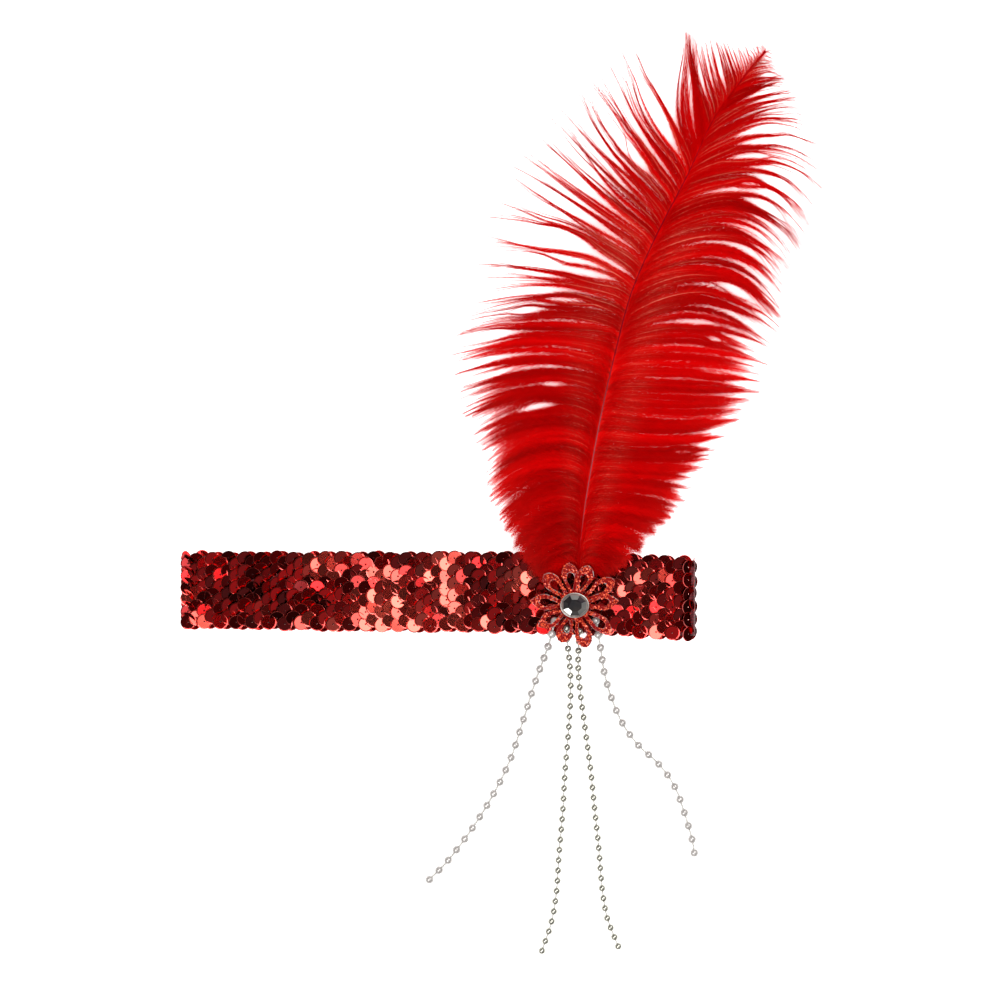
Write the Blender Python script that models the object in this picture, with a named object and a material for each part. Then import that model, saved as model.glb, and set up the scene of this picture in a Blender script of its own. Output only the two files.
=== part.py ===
"""Flapper headband: a sequin stretch band with a plume, a pierced flower, a cut stone and four strings of beads.

Units are metres, +Z is up. The headband lies on a flat surface with its front facing up.
The origin is the centre of the band's underside. +X runs along the band, +Y points to the plume's tip.
The band is a closed loop pressed flat: a front layer, a back layer and a fold at each end, open along Y.
"""

import math
from collections import namedtuple

import bmesh
import bpy
from mathutils import Vector

MM = 0.001

# Gaps between pieces that rest on each other
SEAT_GAP = 0.3 * MM
FLOOR_GAP = 0.05 * MM

# Stretch band
BAND_LENGTH = 247.6 * MM
BAND_WIDTH = 41.5 * MM
BAND_WALL = 1.8 * MM
HEAD_GAP = 4.6 * MM
SEQUIN_ROWS = 6
SEQUIN_RELIEF = 0.6 * MM
ROW_STEP_SHARE = 0.12
SEQUIN_DIP_SHARE = 0.55
SCALLOP_PITCH = 6.2 * MM
SCALLOP_DEPTH = 1.2 * MM
FOLD_STEPS = 6

# Plume
QUILL_BASE_RADIUS = 1.1 * MM
QUILL_TIP_RADIUS = 0.4 * MM
QUILL_INSET_X = 0.7 * MM
QUILL_INSET_Y = 3.5 * MM
PLUME_RISE = 261.7 * MM
PLUME_LEAN = 91.0 * MM
BARB_REACH = 78.0 * MM
LOCK_WIDTH = 12.0 * MM
LOCK_THICKNESS = 2.0 * MM
LOCK_LAYER_SPACING = 2.6 * MM
LOCK_DROOP_RUN = 15.0 * MM

# Pierced flower
FLOWER_X = 64.8 * MM
FLOWER_Y = -5.2 * MM
FLOWER_REACH = 22.6 * MM
HUB_RIM = 0.1 * MM
HUB_PROUD = 0.1 * MM
PETAL_WIDTH = 7.8 * MM
PETAL_THICKNESS = 1.5 * MM
PETAL_ROOT_OVERLAP = 0.7 * MM
PETAL_RAMP = 3.0 * MM
PETAL_STEP = 0.15 * MM
OPENING_WIDTH = 3.8 * MM
OPENING_SETBACK = 0.6 * MM
OPENING_TIP_MARGIN = 5.2 * MM

# Cut stone at the middle of the flower
STONE_LENGTH = 13.8 * MM
STONE_WIDTH = 12.0 * MM
STONE_HEIGHT = 5.2 * MM
STONE_SIDES = 8

# Strings of beads
PEARL_DIAMETER = 3.9 * MM
PEARL_THREAD = 0.9 * MM
SILVER_DIAMETER = 3.0 * MM
DRAPE_RUN = 24.0 * MM
TUBE_POINT_DIAMETERS = 2.5

# Places and sizes that follow from the ones above
QUILL_BASE_X = FLOWER_X + QUILL_INSET_X
QUILL_BASE_Y = FLOWER_Y + QUILL_INSET_Y
HUB_RADIUS = STONE_LENGTH / 2 + HUB_RIM
HUB_THICKNESS = PETAL_THICKNESS + 2 * PETAL_STEP + HUB_PROUD
BAND_TOP = 2 * BAND_WALL + HEAD_GAP
SEQUIN_TOP = BAND_TOP + SEQUIN_RELIEF
QUILL_SEAT = SEQUIN_TOP + SEAT_GAP + QUILL_BASE_RADIUS
HUB_BOTTOM = QUILL_SEAT + QUILL_BASE_RADIUS + SEAT_GAP
BEAD_TOP = SEQUIN_TOP + SEAT_GAP + max(PEARL_DIAMETER, SILVER_DIAMETER)
PETAL_BOTTOM = max(HUB_BOTTOM, BEAD_TOP + SEAT_GAP)
STONE_SEAT = HUB_BOTTOM + HUB_THICKNESS + SEAT_GAP

BandSection = namedtuple("BandSection", "place width drift")

# place: share of the half length. width: share of BAND_WIDTH. drift of the middle line: share of BAND_WIDTH.
BAND_SECTIONS = (
    BandSection(place=-1.0, width=0.905, drift=0.041),
    BandSection(place=-0.1, width=0.93, drift=0.025),
    BandSection(place=0.55, width=0.96, drift=0.0),
    BandSection(place=1.0, width=1.0, drift=-0.034),
)

QuillPoint = namedtuple("QuillPoint", "lean rise height")

# lean: share of PLUME_LEAN. rise: share of PLUME_RISE. height: share of QUILL_SEAT.
QUILL_POINTS = (
    QuillPoint(lean=0.0, rise=0.0, height=1.0),
    QuillPoint(lean=0.03, rise=0.12, height=1.0),
    QuillPoint(lean=0.067, rise=0.21, height=0.96),
    QuillPoint(lean=0.133, rise=0.334, height=0.88),
    QuillPoint(lean=0.209, rise=0.45, height=0.8),
    QuillPoint(lean=0.296, rise=0.56, height=0.71),
    QuillPoint(lean=0.436, rise=0.67, height=0.62),
    QuillPoint(lean=0.589, rise=0.773, height=0.52),
    QuillPoint(lean=0.718, rise=0.87, height=0.43),
    QuillPoint(lean=0.87, rise=0.945, height=0.36),
    QuillPoint(lean=1.0, rise=1.0, height=0.31),
)

LockPair = namedtuple("LockPair", "root ahead_l reach_l arch_l ahead_r reach_r arch_r width")

# root: share of the quill's length. ahead, reach and arch: shares of BARB_REACH, _l on the left, _r on the right.
# ahead is the tip's place along the quill, reach its place beside the quill, arch the bow of the lock.
# width: share of LOCK_WIDTH.
LOCK_PAIRS = (
    LockPair(0.063, -0.07, 0.23, 0.02, 0.01, 0.36, 0.03, 0.75),
    LockPair(0.106, -0.10, 0.38, 0.05, -0.03, 0.40, 0.04, 0.85),
    LockPair(0.152, -0.18, 0.47, 0.09, -0.06, 0.48, 0.05, 1.0),
    LockPair(0.192, -0.18, 0.55, 0.11, -0.05, 0.56, 0.06, 1.0),
    LockPair(0.232, -0.18, 0.62, 0.12, -0.05, 0.63, 0.07, 1.0),
    LockPair(0.270, -0.14, 0.70, 0.10, -0.04, 0.68, 0.08, 1.0),
    LockPair(0.305, -0.11, 0.79, 0.08, -0.02, 0.74, 0.09, 1.0),
    LockPair(0.339, -0.11, 0.87, 0.07, 0.09, 0.83, 0.11, 1.0),
    LockPair(0.374, -0.08, 0.94, 0.05, 0.13, 0.87, 0.13, 1.0),
    LockPair(0.413, -0.07, 0.95, 0.04, 0.16, 0.89, 0.15, 1.0),
    LockPair(0.452, -0.06, 0.95, 0.02, 0.22, 0.89, 0.16, 1.0),
    LockPair(0.490, 0.02, 0.96, 0.0, 0.20, 0.90, 0.17, 1.0),
    LockPair(0.529, 0.09, 0.98, -0.04, 0.26, 0.93, 0.18, 1.0),
    LockPair(0.569, 0.15, 0.98, -0.07, 0.32, 0.91, 0.18, 1.0),
    LockPair(0.607, 0.15, 0.93, -0.08, 0.43, 0.85, 0.17, 1.0),
    LockPair(0.643, 0.19, 0.90, -0.08, 0.47, 0.82, 0.16, 0.95),
    LockPair(0.678, 0.24, 0.88, -0.08, 0.49, 0.79, 0.15, 0.95),
    LockPair(0.712, 0.28, 0.81, -0.07, 0.41, 0.71, 0.13, 0.9),
    LockPair(0.745, 0.38, 0.74, -0.06, 0.42, 0.71, 0.12, 0.9),
    LockPair(0.779, 0.41, 0.57, -0.04, 0.40, 0.66, 0.1, 0.8),
    LockPair(0.816, 0.53, 0.36, -0.03, 0.35, 0.58, 0.08, 0.7),
    LockPair(0.864, 0.34, 0.31, -0.02, 0.32, 0.43, 0.05, 0.6),
    LockPair(0.905, 0.25, 0.21, 0.0, 0.25, 0.27, 0.03, 0.5),
    LockPair(0.942, 0.16, 0.10, 0.0, 0.15, 0.13, 0.02, 0.4),
)

LockRing = namedtuple("LockRing", "along width")

# along: share of the lock's length. width: share of the lock's width.
LOCK_RINGS = (
    LockRing(along=0.0, width=0.16),
    LockRing(along=0.25, width=0.8),
    LockRing(along=0.55, width=1.0),
    LockRing(along=0.85, width=0.6),
)

Petal = namedtuple("Petal", "angle reach")

# angle: degrees from +X. reach: share of FLOWER_REACH.
PETALS = (
    Petal(angle=6.0, reach=0.94),
    Petal(angle=33.0, reach=1.0),
    Petal(angle=70.0, reach=0.89),
    Petal(angle=98.6, reach=0.9),
    Petal(angle=134.5, reach=0.92),
    Petal(angle=174.0, reach=0.955),
    Petal(angle=210.0, reach=0.9),
    Petal(angle=250.0, reach=0.83),
    Petal(angle=286.0, reach=0.925),
    Petal(angle=324.0, reach=0.99),
)

OutlinePoint = namedtuple("OutlinePoint", "along half")

# along: share of the length of the petal or its opening. half: share of the half width there.
PETAL_OUTLINE = (
    OutlinePoint(along=0.0, half=0.42),
    OutlinePoint(along=0.3, half=0.7),
    OutlinePoint(along=0.5, half=0.94),
    OutlinePoint(along=0.68, half=1.0),
    OutlinePoint(along=0.84, half=0.78),
    OutlinePoint(along=0.95, half=0.42),
)
OPENING_OUTLINE = (
    OutlinePoint(along=0.0, half=0.12),
    OutlinePoint(along=0.22, half=0.42),
    OutlinePoint(along=0.48, half=0.8),
    OutlinePoint(along=0.7, half=1.0),
    OutlinePoint(along=0.88, half=0.82),
    OutlinePoint(along=0.98, half=0.35),
)

StoneRing = namedtuple("StoneRing", "height size sides turn")

# height: share of STONE_HEIGHT. size: share of the stone's length and width. turn: share of one side.
STONE_RINGS = (
    StoneRing(height=0.0, size=0.93, sides=2 * STONE_SIDES, turn=0.0),
    StoneRing(height=0.24, size=1.0, sides=2 * STONE_SIDES, turn=0.0),
    StoneRing(height=0.72, size=0.78, sides=STONE_SIDES, turn=0.5),
    StoneRing(height=1.0, size=0.5, sides=STONE_SIDES, turn=0.0),
)

Strand = namedtuple("Strand", "name bead count route")

# Routes of the strings over the band's lower edge and down the floor, in millimetres seen from above
PEARL_LEFT_ROUTE = (
    (56.6, -7.6), (54.9, -14.9), (52.2, -25.1), (45.9, -43.1), (40.2, -61.4), (34.2, -79.6),
    (25.7, -96.9), (15.4, -113.3), (4.1, -128.2), (-4.5, -137.0),
)
PEARL_RIGHT_ROUTE = (
    (72.6, -7.4), (75.2, -13.9), (77.3, -26.1), (79.4, -38.4), (83.0, -50.7), (88.2, -62.5),
    (95.7, -72.7), (105.6, -81.9), (113.0, -92.4), (117.6, -104.8), (121.3, -117.6), (122.4, -124.2),
)
SILVER_LEFT_ROUTE = (
    (61.9, -10.8), (61.0, -19.0), (62.6, -33.6), (63.1, -48.1), (62.0, -67.2), (60.4, -86.2),
    (59.3, -105.6), (57.6, -124.6), (56.3, -143.5), (53.9, -157.7), (49.4, -171.2),
)
SILVER_RIGHT_ROUTE = (
    (68.2, -10.8), (67.2, -19.0), (66.7, -32.3), (67.7, -46.3), (70.2, -65.3), (72.7, -84.2),
    (74.7, -103.5), (76.7, -122.7), (78.3, -141.6), (80.8, -155.7), (86.0, -169.1),
)
STRANDS = (
    Strand("pearl_strand_left", PEARL_DIAMETER, 23, PEARL_LEFT_ROUTE),
    Strand("pearl_strand_right", PEARL_DIAMETER, 20, PEARL_RIGHT_ROUTE),
    Strand("silver_strand_left", SILVER_DIAMETER, 0, SILVER_LEFT_ROUTE),
    Strand("silver_strand_right", SILVER_DIAMETER, 0, SILVER_RIGHT_ROUTE),
)

Finish = namedtuple("Finish", "colour metallic roughness")

FINISHES = {
    "sequin_red": Finish((0.36, 0.01, 0.02), 0.7, 0.25),
    "feather_red": Finish((0.62, 0.0, 0.01), 0.0, 0.8),
    "glitter_red": Finish((0.75, 0.06, 0.03), 0.3, 0.4),
    "crystal_silver": Finish((0.62, 0.64, 0.66), 0.9, 0.08),
    "pearl_grey": Finish((0.72, 0.7, 0.66), 0.1, 0.3),
    "silver_bead": Finish((0.66, 0.66, 0.64), 0.9, 0.18),
}


def clear_scene():
    """Remove everything that the scene holds."""
    for obj in list(bpy.data.objects):
        bpy.data.objects.remove(obj, do_unlink=True)


def make_collection(name, hidden=False):
    """Add a collection to the scene."""
    collection = bpy.data.collections.new(name)
    bpy.context.scene.collection.children.link(collection)
    collection.hide_render = hidden
    return collection


def make_material(name):
    """A plain material of one finish."""
    finish = FINISHES[name]
    material = bpy.data.materials.new(name)
    material.use_nodes = True
    shader = material.node_tree.nodes["Principled BSDF"]
    shader.inputs["Base Color"].default_value = (*finish.colour, 1.0)
    shader.inputs["Metallic"].default_value = finish.metallic
    shader.inputs["Roughness"].default_value = finish.roughness
    return material


def smoothstep(value):
    """Ease from 0 to 1."""
    value = min(1.0, max(0.0, value))
    return value * value * (3.0 - 2.0 * value)


def between(table, key, place, column):
    """Read a column of a table at a place between its rows, with an eased blend."""
    for low, high in zip(table, table[1:]):
        if place <= getattr(high, key):
            span = getattr(high, key) - getattr(low, key)
            share = smoothstep((place - getattr(low, key)) / span)
            return getattr(low, column) * (1 - share) + getattr(high, column) * share
    return getattr(table[-1], column)


def smooth_path(points, steps=8):
    """A smooth curve through the given points, as a fine list of points."""
    ends = [points[0] * 2 - points[1], *points, points[-1] * 2 - points[-2]]
    path = []
    for before, start, end, after in zip(ends, ends[1:], ends[2:], ends[3:]):
        for step in range(steps):
            t = step / steps
            path.append(
                0.5
                * (
                    2 * start
                    + (end - before) * t
                    + (2 * before - 5 * start + 4 * end - after) * t**2
                    + (3 * start - before - 3 * end + after) * t**3
                )
            )
    path.append(points[-1])
    return path


def lengths_along(path):
    """The length of a path up to each of its points."""
    lengths = [0.0]
    for start, end in zip(path, path[1:]):
        lengths.append(lengths[-1] + (end - start).length)
    return lengths


def point_along(path, lengths, distance):
    """The point at a distance along a path."""
    for index in range(1, len(path)):
        if distance <= lengths[index] or index == len(path) - 1:
            span = lengths[index] - lengths[index - 1]
            share = (distance - lengths[index - 1]) / span
            return path[index - 1].lerp(path[index], share)


def mesh_object(name, mesh, collection, material=None):
    """Put a mesh in the scene as a named object."""
    obj = bpy.data.objects.new(name, mesh)
    collection.objects.link(obj)
    if material:
        mesh.materials.append(material)
    return obj


def loft(name, rings, closed=False, tip=None):
    """A mesh through rings of points. It closes on itself, or ends in a flat cap and a cap or a tip point."""
    bm = bmesh.new()
    rows = [[bm.verts.new(point) for point in ring] for ring in rings]
    sides = len(rows[0])
    pairs = list(zip(rows, rows[1:]))
    if closed:
        pairs.append((rows[-1], rows[0]))
    for low, high in pairs:
        for side in range(sides):
            after = (side + 1) % sides
            bm.faces.new((low[side], low[after], high[after], high[side]))
    if not closed:
        bm.faces.new(list(reversed(rows[0])))
    if tip is not None:
        end = bm.verts.new(tip)
        for side in range(sides):
            bm.faces.new((rows[-1][side], rows[-1][(side + 1) % sides], end))
    elif not closed:
        bm.faces.new(rows[-1])
    bmesh.ops.recalc_face_normals(bm, faces=bm.faces)
    mesh = bpy.data.meshes.new(name)
    bm.to_mesh(mesh)
    bm.free()
    return mesh


def tube_curve(name, points, radii, bevel, resolution, collection):
    """A round tube through points, whose radius at each point is a share of the bevel depth."""
    curve = bpy.data.curves.new(name, "CURVE")
    curve.dimensions = "3D"
    curve.bevel_depth = bevel
    curve.bevel_resolution = resolution
    curve.use_fill_caps = True
    spline = curve.splines.new("POLY")
    spline.points.add(len(points) - 1)
    for target, point, radius in zip(spline.points, points, radii):
        target.co = (*point, 1.0)
        target.radius = radius / bevel
    obj = bpy.data.objects.new(name, curve)
    collection.objects.link(obj)
    return obj


def curve_to_mesh(obj, collection):
    """Replace a curve by its mesh, with the caps welded on."""
    graph = bpy.context.evaluated_depsgraph_get()
    mesh = bpy.data.meshes.new_from_object(obj.evaluated_get(graph))
    bm = bmesh.new()
    bm.from_mesh(mesh)
    bmesh.ops.remove_doubles(bm, verts=bm.verts, dist=0.001 * MM)
    bmesh.ops.recalc_face_normals(bm, faces=bm.faces)
    bm.to_mesh(mesh)
    bm.free()
    name = obj.name
    place = obj.matrix_world.copy()
    bpy.data.objects.remove(obj, do_unlink=True)
    made = mesh_object(name, mesh, collection)
    made.matrix_world = place
    return made


def join_all(obj, cutters):
    """Fuse an object with every piece in a collection of helpers."""
    union = obj.modifiers.new("fuse", "BOOLEAN")
    union.operation = "UNION"
    union.solver = "EXACT"
    union.operand_type = "COLLECTION"
    union.collection = cutters


def helper(name, mesh, collection):
    """A helper piece that is only there to be fused with another."""
    obj = mesh_object(name, mesh, collection)
    obj.display_type = "WIRE"
    obj.hide_render = True
    return obj


def band_half_width(x):
    """Half of the band's width at x, out to the tips of the scallops."""
    return BAND_WIDTH / 2 * between(BAND_SECTIONS, "place", 2 * x / BAND_LENGTH, "width")


def band_middle(x):
    """Where the band's middle line lies at x."""
    return BAND_WIDTH * between(BAND_SECTIONS, "place", 2 * x / BAND_LENGTH, "drift")


def band_stations():
    """Stops round the loop: the fold centre's x, and the direction from it to the cloth in degrees."""
    straight = BAND_LENGTH / 2 - BAND_TOP / 2
    steps = 2 * round(2 * straight / SCALLOP_PITCH)
    fold = [180 * step / FOLD_STEPS for step in range(1, FOLD_STEPS)]
    across = [straight * (2 * step / steps - 1) for step in range(steps + 1)]
    front = [(x, 90.0) for x in across]
    right = [(straight, 90.0 - turn) for turn in fold]
    back = [(-x, -90.0) for x in across]
    left = [(-straight, -90.0 - turn) for turn in fold]
    return front + right + back + left


def band_ring(index, x, angle):
    """One cross section of the band's cloth: stepped sequin rows outside, two corners inside."""
    out_x = math.cos(math.radians(angle))
    out_z = math.sin(math.radians(angle))
    front_share = (1 + out_z) / 2
    peak = index % 2
    half = band_half_width(x) - SCALLOP_DEPTH * (1 - peak)
    middle = band_middle(x)

    def point(across, depth):
        """A point at a share across the band and a distance out from the fold centre."""
        y = middle + half * (2 * across - 1)
        return Vector((x + out_x * depth, y, BAND_TOP / 2 + out_z * depth))

    outer = []
    for row in range(SEQUIN_ROWS):
        dip = SEQUIN_DIP_SHARE if (index + row) % 2 else 1.0
        crest = SEQUIN_RELIEF * front_share * dip
        start = row + (ROW_STEP_SHARE if row else 0)
        outer.append(point(start / SEQUIN_ROWS, BAND_TOP / 2 + crest))
        outer.append(point((row + 1) / SEQUIN_ROWS, BAND_TOP / 2))
    inner = [point(1.0, HEAD_GAP / 2), point(0.0, HEAD_GAP / 2)]
    return outer + inner


def make_band(collection):
    """The stretch band: a flat loop of cloth with six rows of overlapping sequins and scalloped edges."""
    rings = [band_ring(index, x, angle) for index, (x, angle) in enumerate(band_stations())]
    mesh = loft("sequin_band", rings, closed=True)
    return mesh_object("sequin_band", mesh, collection, make_material("sequin_red"))


def quill_path():
    """The quill's middle line from under the flower to the plume's tip."""
    points = [
        Vector((
            QUILL_BASE_X + point.lean * PLUME_LEAN,
            QUILL_BASE_Y + point.rise * PLUME_RISE,
            point.height * QUILL_SEAT,
        ))
        for point in QUILL_POINTS
    ]
    return smooth_path(points, steps=3)


def lock_mesh(name, root, along, side, ahead, reach, arch, pair, layer):
    """One lock of barbs: a flat tapering strip that leaves the quill, bows and comes down to its tip."""
    beside = Vector((-along.y, along.x, 0)) * side
    width = LOCK_WIDTH * pair.width / 2
    thickness = LOCK_THICKNESS * pair.width / 2
    run = along * (ahead * BARB_REACH) + beside * (reach * BARB_REACH)
    bow = along * (arch * BARB_REACH)
    floor = thickness * LOCK_RINGS[-1].width + FLOOR_GAP
    tip_y = root.y + run.y
    band_edge = band_middle(root.x) + band_half_width(root.x)
    low = root.z + (floor - root.z) * smoothstep((tip_y - band_edge - width) / LOCK_DROOP_RUN)
    start = root - beside * (QUILL_TIP_RADIUS / 2)

    def middle(share):
        """The lock's middle line at a share of its length."""
        flat = start + run * share + bow * (4 * share * (1 - share))
        lift = layer * LOCK_LAYER_SPACING / 2 * pair.width * math.sin(math.pi * share)
        return Vector((flat.x, flat.y, root.z + (low - root.z) * share**2 + lift))

    rings = []
    for ring in LOCK_RINGS:
        centre = middle(ring.along)
        ahead_of = middle(ring.along + 0.05) - centre
        across = Vector((-ahead_of.y, ahead_of.x, 0)).normalized() * (width * ring.width)
        up = Vector((0, 0, thickness * ring.width))
        rings.append([centre + across, centre + up, centre - across, centre - up])
    return loft(name, rings, tip=middle(1.0))


def make_plume(collection):
    """The plume: a tapering quill with two rows of locks fused to it, laid in two layers."""
    path = quill_path()
    lengths = lengths_along(path)
    whole = lengths[-1]
    radii = [
        QUILL_BASE_RADIUS + (QUILL_TIP_RADIUS - QUILL_BASE_RADIUS) * length / whole
        for length in lengths
    ]
    material = make_material("feather_red")
    curve = tube_curve("plume", path, radii, QUILL_BASE_RADIUS, 2, collection)
    quill = curve_to_mesh(curve, collection)
    quill.data.materials.append(material)
    locks = make_collection("plume_locks", hidden=True)
    for index, pair in enumerate(LOCK_PAIRS):
        root = point_along(path, lengths, pair.root * whole)
        along = point_along(path, lengths, (pair.root + 0.03) * whole) - root
        along = Vector((along.x, along.y, 0)).normalized()
        layer = 1 if index % 2 else -1
        left = lock_mesh(
            f"lock_left_{index}", root, along, 1, pair.ahead_l, pair.reach_l, pair.arch_l, pair, layer
        )
        right = lock_mesh(
            f"lock_right_{index}", root, along, -1, pair.ahead_r, pair.reach_r, pair.arch_r, pair, -layer
        )
        helper(left.name, left, locks)
        helper(right.name, right, locks)
    join_all(quill, locks)
    return quill


def petal_rise(radius):
    """How far a petal's underside stands above the hub's underside at a distance from the middle."""
    return (PETAL_BOTTOM - HUB_BOTTOM) * smoothstep((radius - HUB_RADIUS + SEAT_GAP) / PETAL_RAMP)


def petal_mesh(index, petal):
    """One petal: a pointed oval strip round a drop-shaped opening."""
    reach = petal.reach * FLOWER_REACH
    start = HUB_RADIUS - PETAL_ROOT_OVERLAP
    opening_start = HUB_RADIUS + OPENING_SETBACK
    opening_end = reach - OPENING_TIP_MARGIN
    step = PETAL_STEP * (index % 2 + 1)
    turn = math.radians(petal.angle)

    def outline(points, first, last, width):
        """Points up one side of a shape, over its tip and down the other side."""
        side = [(first + point.along * (last - first), point.half * width / 2) for point in points]
        back = [(along, -half) for along, half in reversed(side)]
        return [*side, (last, 0.0), *back]

    def place(along, half, top):
        """A point of the petal, in the flower's own frame."""
        radius = math.hypot(along, half)
        x = along * math.cos(turn) - half * math.sin(turn)
        y = along * math.sin(turn) + half * math.cos(turn)
        return Vector((x, y, petal_rise(radius) + step + top))

    outside = outline(PETAL_OUTLINE, start, reach, PETAL_WIDTH)
    inside = outline(OPENING_OUTLINE, opening_start, opening_end, OPENING_WIDTH)
    rings = [
        [
            place(*outer, 0.0),
            place(*outer, PETAL_THICKNESS),
            place(*inner, PETAL_THICKNESS),
            place(*inner, 0.0),
        ]
        for outer, inner in zip(outside, inside)
    ]
    return loft(f"petal_{index}", rings, closed=True)


def make_flower(collection):
    """The flower: a round hub with ten pierced petals that rise over the strings of beads."""
    place = Vector((FLOWER_X, FLOWER_Y, HUB_BOTTOM))
    bpy.ops.mesh.primitive_cylinder_add(
        vertices=32,
        radius=HUB_RADIUS,
        depth=HUB_THICKNESS,
        location=place + Vector((0, 0, HUB_THICKNESS / 2)),
    )
    hub = bpy.context.object
    hub.name = "flower"
    hub.data.materials.append(make_material("glitter_red"))
    for holder in list(hub.users_collection):
        holder.objects.unlink(hub)
    collection.objects.link(hub)
    petals = make_collection("flower_petals", hidden=True)
    for index, petal in enumerate(PETALS):
        piece = helper(f"petal_{index}", petal_mesh(index, petal), petals)
        piece.location = place
    join_all(hub, petals)
    return hub


def make_stone(collection):
    """The cut stone: an oval brilliant with a flat table, crown facets and a girdle."""
    bm = bmesh.new()
    for ring in STONE_RINGS:
        for side in range(ring.sides):
            angle = math.tau * (side + ring.turn) / ring.sides
            x = STONE_LENGTH / 2 * ring.size * math.cos(angle)
            y = STONE_WIDTH / 2 * ring.size * math.sin(angle)
            bm.verts.new((x, y, STONE_HEIGHT * ring.height))
    bmesh.ops.convex_hull(bm, input=bm.verts)
    bmesh.ops.recalc_face_normals(bm, faces=bm.faces)
    mesh = bpy.data.meshes.new("rhinestone")
    bm.to_mesh(mesh)
    bm.free()
    stone = mesh_object("rhinestone", mesh, collection, make_material("crystal_silver"))
    stone.location = (FLOWER_X, FLOWER_Y, STONE_SEAT)
    return stone


def strand_height(x, y, radius):
    """Height of a string's middle line: on the band, then down past its lower edge to the floor."""
    edge = band_middle(x) - band_half_width(x)
    share = smoothstep((edge - y) / DRAPE_RUN)
    on_band = SEQUIN_TOP + SEAT_GAP + radius
    on_floor = FLOOR_GAP + radius
    return on_band + (on_floor - on_band) * share


def strand_path(strand):
    """The string's middle line from where it clears the flower's hub to its last bead."""
    radius = strand.bead / 2
    flat = smooth_path([Vector((x * MM, y * MM, 0)) for x, y in strand.route])
    clear = HUB_RADIUS + PETAL_RAMP + radius
    hub = Vector((FLOWER_X, FLOWER_Y, 0))
    seen = [point for point in flat if (point - hub).length >= clear]
    return [Vector((point.x, point.y, strand_height(point.x, point.y, radius))) for point in seen]


def string_of_pearls(strand, path, lengths):
    """Points and radii of a string of round beads on a thread, five rings to a bead."""
    radius = strand.bead / 2
    thread = PEARL_THREAD / 2
    neck = math.acos(thread / radius)
    first = radius
    pitch = (lengths[-1] - 2 * first) / (strand.count - 1)
    points = []
    radii = []
    for bead in range(strand.count):
        for turn in (-neck, -math.pi / 4, 0.0, math.pi / 4, neck):
            distance = first + bead * pitch + radius * math.sin(turn)
            points.append(point_along(path, lengths, distance))
            radii.append(radius * math.cos(turn))
    return points, radii


def plain_string(strand, path, lengths):
    """Points and radii of a plain round string, with a point every few diameters."""
    spans = round(lengths[-1] / (TUBE_POINT_DIAMETERS * strand.bead))
    points = [point_along(path, lengths, lengths[-1] * step / spans) for step in range(spans + 1)]
    radii = [strand.bead / 2] * len(points)
    return points, radii


def make_strand(strand, collection):
    """One string: round beads on a thread, or a plain tube for the string of small beads."""
    path = strand_path(strand)
    lengths = lengths_along(path)
    if strand.count:
        points, radii = string_of_pearls(strand, path, lengths)
        resolution = 3
        finish = "pearl_grey"
    else:
        points, radii = plain_string(strand, path, lengths)
        resolution = 2
        finish = "silver_bead"
    curve = tube_curve(strand.name, points, radii, strand.bead / 2, resolution, collection)
    string = curve_to_mesh(curve, collection)
    string.data.materials.append(make_material(finish))
    string.data.shade_smooth()
    return string


def main():
    """Build the headband."""
    clear_scene()
    headband = make_collection("flapper_headband")
    stand = bpy.data.objects.new("headband_origin", None)
    headband.objects.link(stand)
    pieces = [
        make_band(headband),
        make_plume(headband),
        make_flower(headband),
        make_stone(headband),
        *[make_strand(strand, headband) for strand in STRANDS],
    ]
    for piece in pieces:
        piece.parent = stand


main()
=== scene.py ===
"""Flapper headband laid on a pale floor: sequin band, plume, glitter flower, cut stone and strings of beads.

Lengths are in metres. The frame's origin is the centre of the band's underside, +X runs along the band and
+Y points to the plume's tip. Each sub-assembly is a class that builds its meshes and dresses them.
"""

import logging
import math
from dataclasses import dataclass, field
from enum import Enum
from typing import NamedTuple

import bmesh
import bpy
import numpy as np
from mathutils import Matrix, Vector


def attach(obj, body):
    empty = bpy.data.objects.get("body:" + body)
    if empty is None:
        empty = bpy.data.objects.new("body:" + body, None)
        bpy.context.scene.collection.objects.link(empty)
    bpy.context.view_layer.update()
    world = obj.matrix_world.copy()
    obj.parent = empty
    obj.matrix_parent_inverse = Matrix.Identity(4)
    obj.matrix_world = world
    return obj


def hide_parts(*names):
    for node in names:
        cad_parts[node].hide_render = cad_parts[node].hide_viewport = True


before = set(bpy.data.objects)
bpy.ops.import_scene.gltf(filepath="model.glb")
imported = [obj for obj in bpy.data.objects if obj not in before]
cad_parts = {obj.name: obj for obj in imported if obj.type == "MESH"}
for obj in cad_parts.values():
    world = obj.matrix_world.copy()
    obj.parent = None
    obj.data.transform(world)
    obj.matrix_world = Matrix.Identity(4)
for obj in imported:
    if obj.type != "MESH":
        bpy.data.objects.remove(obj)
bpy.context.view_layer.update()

MM = 0.001
FLOWER_CENTRE = (64.8 * MM, -5.2 * MM)
SEAT_GAP = 0.3 * MM
ROOT = "root"
LOG = logging.getLogger("headband")

Number = "Sock | float"
Point = tuple[float, float, float]


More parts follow.
